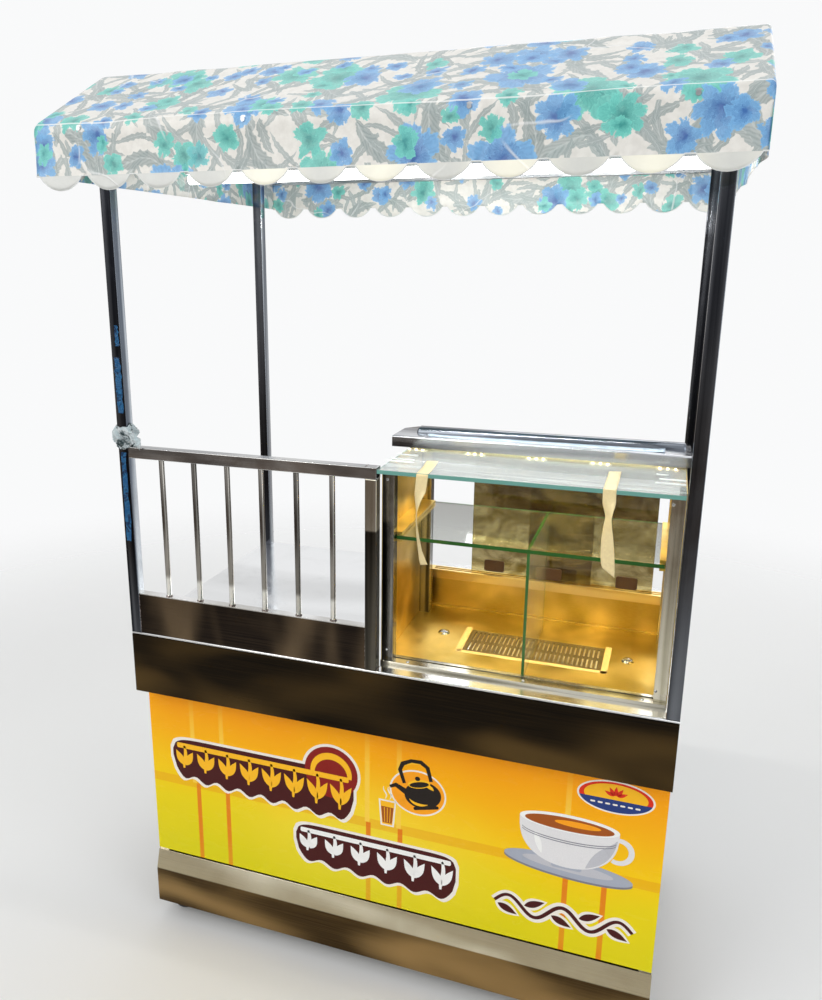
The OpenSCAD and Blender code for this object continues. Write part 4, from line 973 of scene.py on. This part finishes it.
def hood_trim():
    film = Shape()
    z = HOOD[1].z
    steps = 60
    verts, faces = [], []
    for i in range(steps + 1):
        x = 648 + 501 * i / steps
        wide = 22 + 15 * i / steps
        lift = 2.2 * math.exp(-i / 2.0) + 1.6 * math.exp(-(steps - i) / 2.2)
        for y in (231, 231 + 0.3 * wide, 231 + 0.65 * wide, 231 + wide):
            wave = 0.12 * math.sin(i * 0.9 + y)
            verts.append(spot(x, y + 0.5 * math.sin(i * 0.35), 0) + Vector((0, 0, z - CORNER.z + (0.35 + wave + lift) * MM)))
    for i in range(steps):
        for j in range(3):
            a = i * 4 + j
            faces.append((a, a + 1, a + 5, a + 4))
    film.add(verts, faces)
    obj = piece("hood_film", film, ["film"], smooth=60)
    thick = obj.modifiers.new("thickness", "SOLIDIFY")
    thick.thickness = 0.0002
    bead = Shape()
    outline = [(265, 0), (266, 5), (270, 9), (278, 11.5), (290, 12), (301, 9.5), (307, 5), (309, 0)]

    def across(x):
        return [spot(x, y, 0) + Vector((0, 0, z - CORNER.z + h * MM)) for y, h in outline]
    ends = [613, 614.5, 618, 1185, 1188.5, 1190]
    share = [0.55, 0.85, 1.0, 1.0, 0.85, 0.55]
    verts, n = [], len(outline)
    for x, k in zip(ends, share):
        back = spot(x, 309, 0) + Vector((0, 0, z - CORNER.z))
        narrow = (0.9 + 0.1 * k) * (1 - 0.28 * (x - ends[0]) / (ends[-1] - ends[0]))
        for p in across(x):
            verts.append(Vector((p.x, back.y + (p.y - back.y) * narrow, back.z + (p.z - back.z) * k)))
    faces = [(i * n + j, i * n + (j + 1) % n, (i + 1) * n + (j + 1) % n, (i + 1) * n + j)
             for i in range(len(ends) - 1) for j in range(n)]
    faces += [tuple(range(n))[::-1], tuple(range((len(ends) - 1) * n, len(ends) * n))]
    bead.add(verts, faces)
    piece("hood_bead", bead, ["bead"], smooth=50)


def tape(name, stations, seed):
    """A hanging strip of tape. Each station is its middle, the way its width runs, and the width."""
    rng = random.Random(seed)
    rows, across = [], 6
    points = [np.array([*p, *d, w], float) for p, d, w in stations]
    lengths = [np.linalg.norm(b[:3] - a[:3]) for a, b in zip(points, points[1:])]
    along = np.concatenate([[0], np.cumsum(lengths)])
    for s in np.linspace(0, along[-1], max(24, int(along[-1] / 5))):
        i = min(int(np.searchsorted(along, s, "right")) - 1, len(points) - 2)
        t = (s - along[i]) / (along[i + 1] - along[i])
        p = points[i] * (1 - t) + points[i + 1] * t
        d = p[3:6] / np.linalg.norm(p[3:6])
        rows.append([p[:3] + d * p[6] * (j / across - 0.5) for j in range(across + 1)])
    shape = Shape()
    verts = [spot(*q) for row in rows for q in row]
    faces = [(i * (across + 1) + j, i * (across + 1) + j + 1, (i + 1) * (across + 1) + j + 1, (i + 1) * (across + 1) + j)
             for i in range(len(rows) - 1) for j in range(across)]
    shape.add(verts, faces)
    obj = piece(name, shape, ["tape"], smooth=70)
    thick = obj.modifiers.new("thickness", "SOLIDIFY")
    thick.thickness = 0.00012
    thick.offset = 0.0


def tapes():
    top = (TOP[1].z - CORNER.z) / MM + 0.15
    low = top - 8.3
    tape("tape_left", [
        ((692, 116, top), (1.0, 0.25, 0), 24), ((699, 60, top), (1, 0.1, 0), 24), ((703, 6, top), (1, 0, 0), 24),
        ((703, 0.6, top - 0.2), (1, 0, 0), 24), ((702.5, 0.3, low), (1, 0, 0), 24), ((700, -1.0, 405), (1, -0.05, 0.05), 23),
        ((696, -3.0, 388), (0.75, -0.65, 0.1), 22), ((694, -5, 366), (0.35, -0.93, 0.05), 23),
        ((695, -7, 340), (0.40, -0.90, 0), 23), ((698, -6, 312), (0.55, -0.83, 0), 23),
        ((702, -4, 286), (0.62, -0.78, 0.1), 23), ((708, -3, 262), (0.80, -0.60, 0.2), 23), ((711, -3, 254), (0.85, -0.5, 0.3), 22),
    ], 3)
    tape("tape_right", [
        ((1059, 150, top), (1, 0.3, 0), 24), ((1059.5, 80, top), (1, 0, 0), 24), ((1059.5, 6, top), (1, 0, 0), 24),
        ((1059.5, 0.6, top - 0.2), (1, 0, 0), 24), ((1059.5, 0.3, low), (1, 0, 0), 24),
        ((1060, -1, 418), (1, -0.05, 0), 24), ((1060, -3, 402), (0.72, -0.68, 0), 24), ((1061, -4, 388), (0.5, -0.86, 0), 24),
        ((1061, -4, 370), (0.68, -0.7, 0), 24), ((1062, -3, 345), (0.92, -0.35, 0), 24), ((1064, -2, 318), (1, -0.1, 0), 25),
        ((1066, -2, 296), (1, 0, -0.25), 26), ((1068, -2, 282), (1, 0, -0.75), 29),
    ], 5)


lamps()
case_fittings()
hood_trim()
tapes()


# ---------------------------------------------------------------- film on the left front post

def post_film():
    """A crumple of clear film tied round the post at the rail, and blue film that still sticks above it."""
    rng = np.random.default_rng(5)
    post_x, post_y, half = -0.5975, CORNER.y + 0.0125, 0.0125
    count, rows = 64, 26
    phases = rng.uniform(0, 6.28, 14)
    verts, faces = [], []
    for i in range(rows):
        h = i / (rows - 1)
        z = 1.262 + 0.050 * h
        for k in range(count):
            a = 2 * math.pi * k / count
            square = half / max(abs(math.cos(a)), abs(math.sin(a)))
            bulge = 0.011 * math.sin(math.pi * h) ** 0.7
            fold = sum(math.sin((3 + n) * a + phases[n] + (7 + 2 * n) * h) / (1 + 0.25 * n) for n in range(7)) / 3.2
            fine = math.sin(23 * a + 31 * h + phases[9]) * math.sin(17 * h * 6 + 9 * a + phases[10])
            r = square * (1.0 + 0.03) + 0.0006 + bulge * (0.75 + 0.6 * fold + 0.22 * fine)
            r = max(r, square + 0.0004)
            drop = 0.004 * math.sin(2 * a + phases[11]) + 0.003 * fold
            verts.append(Vector((post_x + r * math.cos(a), post_y + r * math.sin(a), z + drop)))
    for i in range(rows - 1):
        for k in range(count):
            j = (k + 1) % count
            faces.append((i * count + k, i * count + j, (i + 1) * count + j, (i + 1) * count + k))
    shape = Shape()
    shape.add(verts, faces)
    tail = []
    for i in range(15):
        t = i / 14
        c = Vector((post_x + 0.020 + 0.030 * t, post_y - 0.018 - 0.006 * math.sin(3 * t), 1.292 - 0.018 * t * t))
        for j in range(5):
            w = (j / 4 - 0.5) * (0.016 + 0.012 * t)
            tail.append(c + Vector((0.2 * w, 0.003 * math.sin(9 * t + 2.4 * j), w)))
    start = [(i * 5 + j, i * 5 + j + 1, (i + 1) * 5 + j + 1, (i + 1) * 5 + j) for i in range(14) for j in range(4)]
    shape.add(tail, start)
    obj = piece("film_knot", shape, ["wrap"], smooth=50)
    thick = obj.modifiers.new("thickness", "SOLIDIFY")
    thick.thickness = 0.0002
    patch = Shape()
    for z0, z1, u0, u1 in ((1.340, 1.462, 0.004, 0.0225), (1.486, 1.530, 0.010, 0.0235), (1.045, 1.252, 0.003, 0.0205)):
        outline = []
        for i in range(13):
            outline.append((u0 + rng.uniform(0, 0.0035), z0 + (z1 - z0) * i / 12))
        for i in range(12, -1, -1):
            outline.append((u1 - rng.uniform(0, 0.0045), z0 + (z1 - z0) * i / 12))
        patch.slab(outline, lambda u, v, w: Vector((-0.610 + u, CORNER.y - w, v)), 0.00006, 0.00022)
    piece("post_film", patch, ["blue_film"], smooth=40)


post_film()


# ---------------------------------------------------------------- print on the front panel

def leaf(x, y, long, wide, turn):
    points = []
    for sign in (1, -1):
        for i in range(13):
            t = i / 12 if sign > 0 else 1 - i / 12
            points.append(((t - 0.5) * long, sign * wide / 2 * math.sin(math.pi * t ** 0.8)))
    cos, sin = math.cos(math.radians(turn)), math.sin(math.radians(turn))
    return [(x + u * cos - v * sin, y + u * sin + v * cos) for u, v in points[:-1]]


def turned(points, x, y, degrees):
    """Points turned about (x, y)."""
    cos, sin = math.cos(math.radians(degrees)), math.sin(math.radians(degrees))
    return [(x + (u - x) * cos - (v - y) * sin, y + (u - x) * sin + (v - y) * cos) for u, v in points]


def line_of(count, point):
    return [point(i / count) for i in range(count + 1)]


def garland(name, x0, z0, x1, z1, look, hoop=None):
    """A blank brown banner with a pale outline, a bar along its top and a row of hanging leaves."""
    shape = Shape()
    height, count = z1 - z0, 60
    hoop_x, hoop_z, hoop_r = hoop or (0, 0, 0)

    def outline(grow):
        base, top = [], []
        for i in range(count + 1):
            t = i / count
            x = x0 - grow + (x1 - x0 + 2 * grow) * t
            end = math.sqrt(max(0.0, 1 - (2 * abs(t - 0.5)) ** 12))
            low = z0 + height * (0.06 * math.cos(t * math.pi * 2 * round((x1 - x0) / 62)) + 0.16 * (1 - t))
            base.append((x, low - grow + (1 - end) * height * 0.4))
            top.append((x, z1 + grow - (1 - end) * height * 0.25))
        return base + top[::-1]
    shape.slab(outline(7.0), on_panel, 0.02, 0.14, 0)
    if hoop:
        shape.slab(oval(hoop_x, hoop_z, hoop_r + 7, hoop_r + 7, 48), on_panel, 0.03, 0.15, 0)
        shape.slab(oval(hoop_x, hoop_z, hoop_r, hoop_r, 48), on_panel, 0.12, 0.25, 3)
    shape.slab(outline(0.0), on_panel, 0.11, 0.24, 1)
    bar_z = z1 - 0.15 * height
    shape.slab(rounded_box(x0 + 12, bar_z - 0.055 * height, x1 - 12, bar_z + 0.055 * height, 4), on_panel, 0.2, 0.34, 2)
    if hoop:
        inner = arc(hoop_x, hoop_z - 4, 0.70 * hoop_r, 0.70 * hoop_r, -6, 187)
        shape.slab(strip(inner, (17, 10)), on_panel, 0.2, 0.33, 2)
    leaves = round((x1 - x0 - 60) / 62)
    for i in range(leaves + 1):
        t = i / leaves
        x = x0 + 32 + (x1 - x0 - 64) * t
        low = z0 + height * (0.20 + 0.16 * (1 - t))
        middle = (low + bar_z) / 2
        stem = line_of(10, lambda k: (x + 3 * math.sin(k * 5), bar_z + (low - bar_z) * k))
        shape.slab(strip(stem, (10, 5)), on_panel, 0.2, 0.34, 2)
        for side in (-1, 1):
            tip = leaf(x + side * 13, middle - 3, (bar_z - low) * 0.72, 19, 90 - side * 28)
            shape.slab(tip, on_panel, 0.2, 0.35, 2)
    piece(name, shape, ["ink_cream", "ink_brown", look, "ink_maroon"], smooth=20)


def kettle():
    """A kettle that tips towards a glass, on an orange disc."""
    shape = Shape()
    cx, cz = 690, -292
    shape.slab(oval(cx + 3, cz - 14, 66, 57, 56), on_panel, 0.02, 0.12, 0)
    shape.slab(oval(cx + 3, cz - 14, 62, 53, 56), on_panel, 0.08, 0.18, 1)

    def part(points, low, high, look):
        shape.slab(turned(points, cx, cz, 15), on_panel, low, high, look)
    part(oval(cx + 10, cz - 20, 43, 34, 40), 0.14, 0.28, 2)
    part(rounded_box(cx - 20, cz - 56, cx + 40, cz - 48, 3.5), 0.14, 0.30, 2)
    part(oval(cx + 8, cz + 8, 27, 11, 30), 0.2, 0.34, 3)
    part(oval(cx + 8, cz + 6, 23, 7, 30), 0.3, 0.38, 2)
    part(oval(cx + 8, cz + 21, 6, 5.5, 20), 0.2, 0.36, 2)
    part([(cx - 22, cz - 26), (cx - 50, cz + 4), (cx - 62, cz + 2), (cx - 64, cz + 9), (cx - 46, cz + 14),
          (cx - 20, cz - 6)], 0.14, 0.3, 2)
    handle = [(cx - 26, cz + 12), (cx - 28, cz + 46), (cx - 18, cz + 60), (cx + 4, cz + 64), (cx + 26, cz + 60),
              (cx + 38, cz + 46), (cx + 38, cz + 12)]
    part(strip(handle, (11, 8)), 0.14, 0.3, 2)
    part(strip([(cx - 14, cz + 55), (cx + 4, cz + 59), (cx + 24, cz + 55)], (4, 2)), 0.26, 0.36, 3)
    part(strip(arc(cx + 8, cz - 20, 33, 25, 196, 285), (7, 1)), 0.26, 0.36, 3)
    part(strip(arc(cx + 10, cz - 18, 30, 24, 20, 75), (9, 2)), 0.26, 0.36, 3)
    piece("art_kettle", shape, ["ink_cream", "ink_orange", "ink_black", "ink_gold"], smooth=20)
    cup = Shape()
    gx, gz = 622, -378
    for grow, high, looks in ((4, 38, (0.02, 0)), (0, 34, (0.08, 1))):
        cup.slab([(gx - 17 - grow, gz + high), (gx + 17 + grow, gz + high), (gx + 12 + grow, gz - 26 - grow),
                  (gx - 12 - grow, gz - 26 - grow)], on_panel, looks[0], looks[0] + 0.1, looks[1])
    cup.slab([(gx - 15, gz + 20), (gx + 15, gz + 20), (gx + 11, gz - 22), (gx - 11, gz - 22)], on_panel, 0.14, 0.26, 2)
    for u in (-6, 0, 6):
        cup.slab(strip([(gx + u * 1.2, gz + 18), (gx + u, gz - 20)], 1.6), on_panel, 0.2, 0.32, 1)
    for side in (-6, 5):
        steam = [(gx + side + 4 * math.sin(i * 0.55), gz + 40 + i * 3.2) for i in range(11)]
        cup.slab(strip(steam, (3.2, 0.8)), on_panel, 0.02, 0.12, 0)
    piece("art_glass", cup, ["ink_cream", "ink_gold", "ink_tea"], smooth=20)


def tea_cup():
    shape = Shape()
    cx, rim, depth = 1026, -303, 108
    saucer = turned(oval(1028, -410, 136, 24, 64), 1028, -410, -3)
    shape.slab([(x, z - 5) for x, z in saucer], on_panel, 0.02, 0.12, 3)
    shape.slab(saucer, on_panel, 0.08, 0.2, 2)
    shape.slab(turned(oval(1028, -408, 96, 13, 48), 1028, -410, -3), on_panel, 0.14, 0.24, 6)
    shape.slab(strip(arc(cx + 104, rim - 42, 26, 27, -118, 119), (12, 10)), on_panel, 0.14, 0.28, 1)
    bowl = line_of(28, lambda t: (cx + 104 * math.cos(math.pi * t), rim - depth * math.sin(math.pi * t) ** 0.72))
    shape.slab(bowl[::-1], on_panel, 0.2, 0.34, 1)
    shaded = line_of(20, lambda t: (cx + 40 + 60 * t, rim - 18 - (depth - 24) * (1 - t) ** 0.8 * 0.96))
    shape.slab(strip(shaded, (26, 2)), on_panel, 0.3, 0.37, 6)
    shape.slab(rounded_box(cx - 32, rim - depth - 4, cx + 32, rim - depth + 8, 5), on_panel, 0.2, 0.33, 2)
    shape.slab(oval(cx, rim, 104, 21, 56), on_panel, 0.28, 0.4, 0)
    shape.slab(oval(cx, rim - 2, 93, 16, 56), on_panel, 0.36, 0.46, 4)
    shape.slab(oval(cx + 18, rim + 1, 48, 7, 40), on_panel, 0.42, 0.5, 5)
    for drop in (24, 29):
        shape.slab(strip(arc(cx, rim - drop, 98, 19, 186, 355, 7), (2.2, 1.4)), on_panel, 0.38, 0.46, 3)
    lit = [(cx - 70 + 16 * i / 12, rim - 34 - 50 * i / 12) for i in range(13)]
    shape.slab(strip(lit, (13, 2)), on_panel, 0.36, 0.44, 0)
    looks = ["ink_white", "ink_china", "ink_grey", "ink_slate", "ink_tea", "ink_orange", "ink_shade"]
    piece("art_cup", shape, looks, smooth=20)


def badge():
    shape = Shape()
    cx, cz = 1115, -219
    shape.slab(oval(cx, cz, 78, 38, 60), on_panel, 0.02, 0.12, 0)
    shape.slab(oval(cx, cz, 74, 34.5, 60), on_panel, 0.08, 0.18, 1)
    shape.slab(oval(cx, cz + 2, 64, 28, 60), on_panel, 0.14, 0.24, 3)
    shape.slab(oval(cx, cz, 74, 34.5, 36, 190, 350), on_panel, 0.2, 0.3, 2)
    for k in range(5):
        turn = 90 + (k - 2) * 32
        x, z = cx + 15 * math.cos(math.radians(turn)), cz + 2 + 12 * math.sin(math.radians(turn))
        shape.slab(leaf(x, z, 22, 8, turn), on_panel, 0.26, 0.36, 1)
    for k in range(-3, 4):
        shape.slab(rounded_box(cx + 15 * k - 5, cz - 19, cx + 15 * k + 5, cz - 15, 1.9), on_panel, 0.26, 0.36, 0)
    piece("art_badge", shape, ["ink_cream", "ink_red", "ink_navy", "ink_gold"], smooth=20)


def flourish():
    """A plain scroll where the smaller line of print was."""
    shape = Shape()
    for wide, look, low in ((26, 0, 0.02), (9, 1, 0.12)):
        wave = line_of(120, lambda t: (876 + 296 * t, -534 - 4 * t + 21 * math.sin(t * math.pi * 5)))
        shape.slab(strip(wave, (wide, wide * 0.8)), on_panel, low, low + 0.14, look)
        grow = 13 if look == 0 else 0
        for i in range(5):
            x, side = 905 + 59 * i, 1 if i % 2 else -1
            shape.slab(leaf(x, -536 + side * 14, 48 + grow, 17 + grow, side * 24), on_panel, low + 0.01, low + 0.12, look)
    piece("art_flourish", shape, ["ink_cream", "ink_brown"], smooth=20)


garland("art_banner_upper", 62, -418, 540, -292, "ink_gold", (484, -300, 66))
garland("art_banner_lower", 392, -566, 786, -452, "ink_white")
kettle()
tea_cup()
badge()
flourish()


# ---------------------------------------------------------------- screws and rivets at the sides and back

def fixings():
    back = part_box("fascia_band")[1].y
    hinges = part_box("door_hinges")
    door_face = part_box("rear_door_left")[1].y - 0.0105
    rows = [(z, z + 0.030, z + 0.060) for z in (0.200, 0.550)]
    fixed = Shape()
    for side in (-1, 1):
        for a, b, c in rows:
            for z in (a + 0.010, b, c - 0.010):
                fixed.screw((side * 0.5975, 0.3230, z), (0, 1, 0), 2.6, 1.2)
    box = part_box("switch_box")
    for x in (box[0].x + 0.007, box[1].x - 0.007):
        for z in (box[1].z - 0.007, box[1].z - 0.067):
            fixed.screw((x, box[1].y, z), (0, 1, 0), 2.4, 1.0)
    piece("hinge_screws", fixed, ["chrome"], smooth=40)
    for side, body in ((-1, "rear_door_left"), (1, "rear_door_right")):
        shape = Shape()
        for a, b, c in rows:
            for z in (a + 0.010, b, c - 0.010):
                shape.screw((side * 0.5660, 0.3230, z), (0, 1, 0), 2.6, 1.2)
        piece("door_screws_" + ("left" if side < 0 else "right"), shape, ["chrome"], body, 40)
    rivets = Shape()
    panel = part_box("side_panels")
    for side in (-1, 1):
        for i in range(6):
            y = panel[0].y + 0.018 + (panel[1].y - panel[0].y - 0.036) * i / 5
            for z in (panel[0].z + 0.016, panel[1].z - 0.016):
                rivets.lathe([(0.0032, 0), (0.0029, 0.0006), (0.0018, 0.0011), (0.0007, 0.0012)],
                             (side * panel[1].x, y, z), (side, 0, 0), 12)
    for i in range(9):
        x = -0.56 + 0.14 * i
        rivets.lathe([(0.0032, 0), (0.0029, 0.0006), (0.0018, 0.0011), (0.0007, 0.0012)], (x, back, 0.686), (0, 1, 0), 12)
    piece("sheet_rivets", rivets, ["chrome"], smooth=50)


fixings()


# ---------------------------------------------------------------- light and floor

def area_light(name, place, target, size, power, colour=(1.0, 1.0, 1.0)):
    light = bpy.data.lights.new(name, "AREA")
    light.shape = "RECTANGLE"
    light.size, light.size_y = size
    light.energy = power
    light.color = colour
    obj = bpy.data.objects.new(name, light)
    bpy.context.scene.collection.objects.link(obj)
    obj.location = place
    obj.rotation_euler = (Vector(target) - Vector(place)).to_track_quat("-Z", "Y").to_euler()


area_light("key", (-2.2, -3.4, 3.4), (0, 0, 1.0), (2.4, 2.4), 62, (1.0, 0.98, 0.95))
area_light("fill", (3.2, -2.2, 2.2), (0, 0, 1.0), (2.0, 2.4), 26, (0.95, 0.97, 1.0))
area_light("rim", (0.6, 3.4, 3.2), (0, 0, 1.2), (3.0, 1.6), 34)
area_light("overhead", (0, 0, 4.4), (0, 0, 1.0), (3.2, 2.4), 20)
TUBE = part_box("light_tube")
area_light("canopy_lamp", ((TUBE[0].x + TUBE[1].x) / 2, TUBE[1].y + 0.012, TUBE[0].z - 0.004), (0.1, 0.35, 1.45), (0.95, 0.015),
           6, (1.0, 0.98, 0.94))
area_light("case_lamp", ((BAR[0].x + BAR[1].x) / 2, BAR[0].y, BAR[0].z - 0.012), (0.275, -0.16, 0.82), (0.52, 0.012), 2.4,
           (1.0, 0.78, 0.40))

world = bpy.data.worlds.new("studio")
bpy.context.scene.world = world
world.use_nodes = True
tree = world.node_tree
plain = tree.nodes["Background"]
plain.inputs[0].default_value = (0.95, 0.96, 0.97, 1.0)
plain.inputs[1].default_value = 0.62
mirror = tree.nodes.new("ShaderNodeBackground")
coords = tree.nodes.new("ShaderNodeTexCoord")
split = tree.nodes.new("ShaderNodeSeparateXYZ")
shade = tree.nodes.new("ShaderNodeValToRGB")
shade.color_ramp.elements[0].position = 0.40
shade.color_ramp.elements[0].color = (0.16, 0.13, 0.11, 1)
shade.color_ramp.elements[1].position = 0.62
shade.color_ramp.elements[1].color = (0.95, 0.96, 0.98, 1)
lift = tree.nodes.new("ShaderNodeMath")
lift.operation = "MULTIPLY_ADD"
lift.inputs[1].default_value = 0.5
lift.inputs[2].default_value = 0.5
path = tree.nodes.new("ShaderNodeLightPath")
both = tree.nodes.new("ShaderNodeMixShader")
tree.links.new(coords.outputs["Generated"], split.inputs[0])
tree.links.new(split.outputs[2], lift.inputs[0])
tree.links.new(lift.outputs[0], shade.inputs[0])
side = tree.nodes.new("ShaderNodeMapRange")
side.inputs["From Min"].default_value = 0.36
side.inputs["From Max"].default_value = 0.56
tree.links.new(split.outputs[0], side.inputs["Value"])
bright = tree.nodes.new("ShaderNodeMix")
bright.data_type = "RGBA"
bright.inputs[7].default_value = (0.90, 0.93, 0.97, 1.0)
tree.links.new(side.outputs[0], bright.inputs[0])
tree.links.new(shade.outputs[0], bright.inputs[6])
tree.links.new(bright.outputs[2], mirror.inputs[0])
mirror.inputs[1].default_value = 0.9
tree.links.new(path.outputs["Is Glossy Ray"], both.inputs[0])
tree.links.new(plain.outputs[0], both.inputs[1])
tree.links.new(mirror.outputs[0], both.inputs[2])
seen = tree.nodes.new("ShaderNodeBackground")
seen.inputs[0].default_value = (0.95, 0.955, 0.96, 1.0)
last = tree.nodes.new("ShaderNodeMixShader")
tree.links.new(path.outputs["Is Camera Ray"], last.inputs[0])
tree.links.new(both.outputs[0], last.inputs[1])
tree.links.new(seen.outputs[0], last.inputs[2])
tree.links.new(last.outputs[0], tree.nodes["World Output"].inputs[0])

floor_mesh = bpy.data.meshes.new("studio_floor")
floor_mesh.from_pydata([(-30, -30, 0), (30, -30, 0), (30, 30, 0), (-30, 30, 0)], [], [(0, 1, 2, 3)])
floor = bpy.data.objects.new("studio_floor", floor_mesh)
bpy.context.scene.collection.objects.link(floor)
ground = Shader("studio_floor")
far = ground.step(ground.length(*ground.xyz(ground.at)), 1.6, 4.2)
ground.set(
    Base_Color=ground.mix(ground.noise(ground.at, 0.6), (0.84, 0.84, 0.83), (0.88, 0.88, 0.87)), Roughness=0.7,
    Alpha=1.0 - far,
)
floor_mesh.materials.append(ground.mat)

bpy.context.scene.view_settings.view_transform = "Standard"
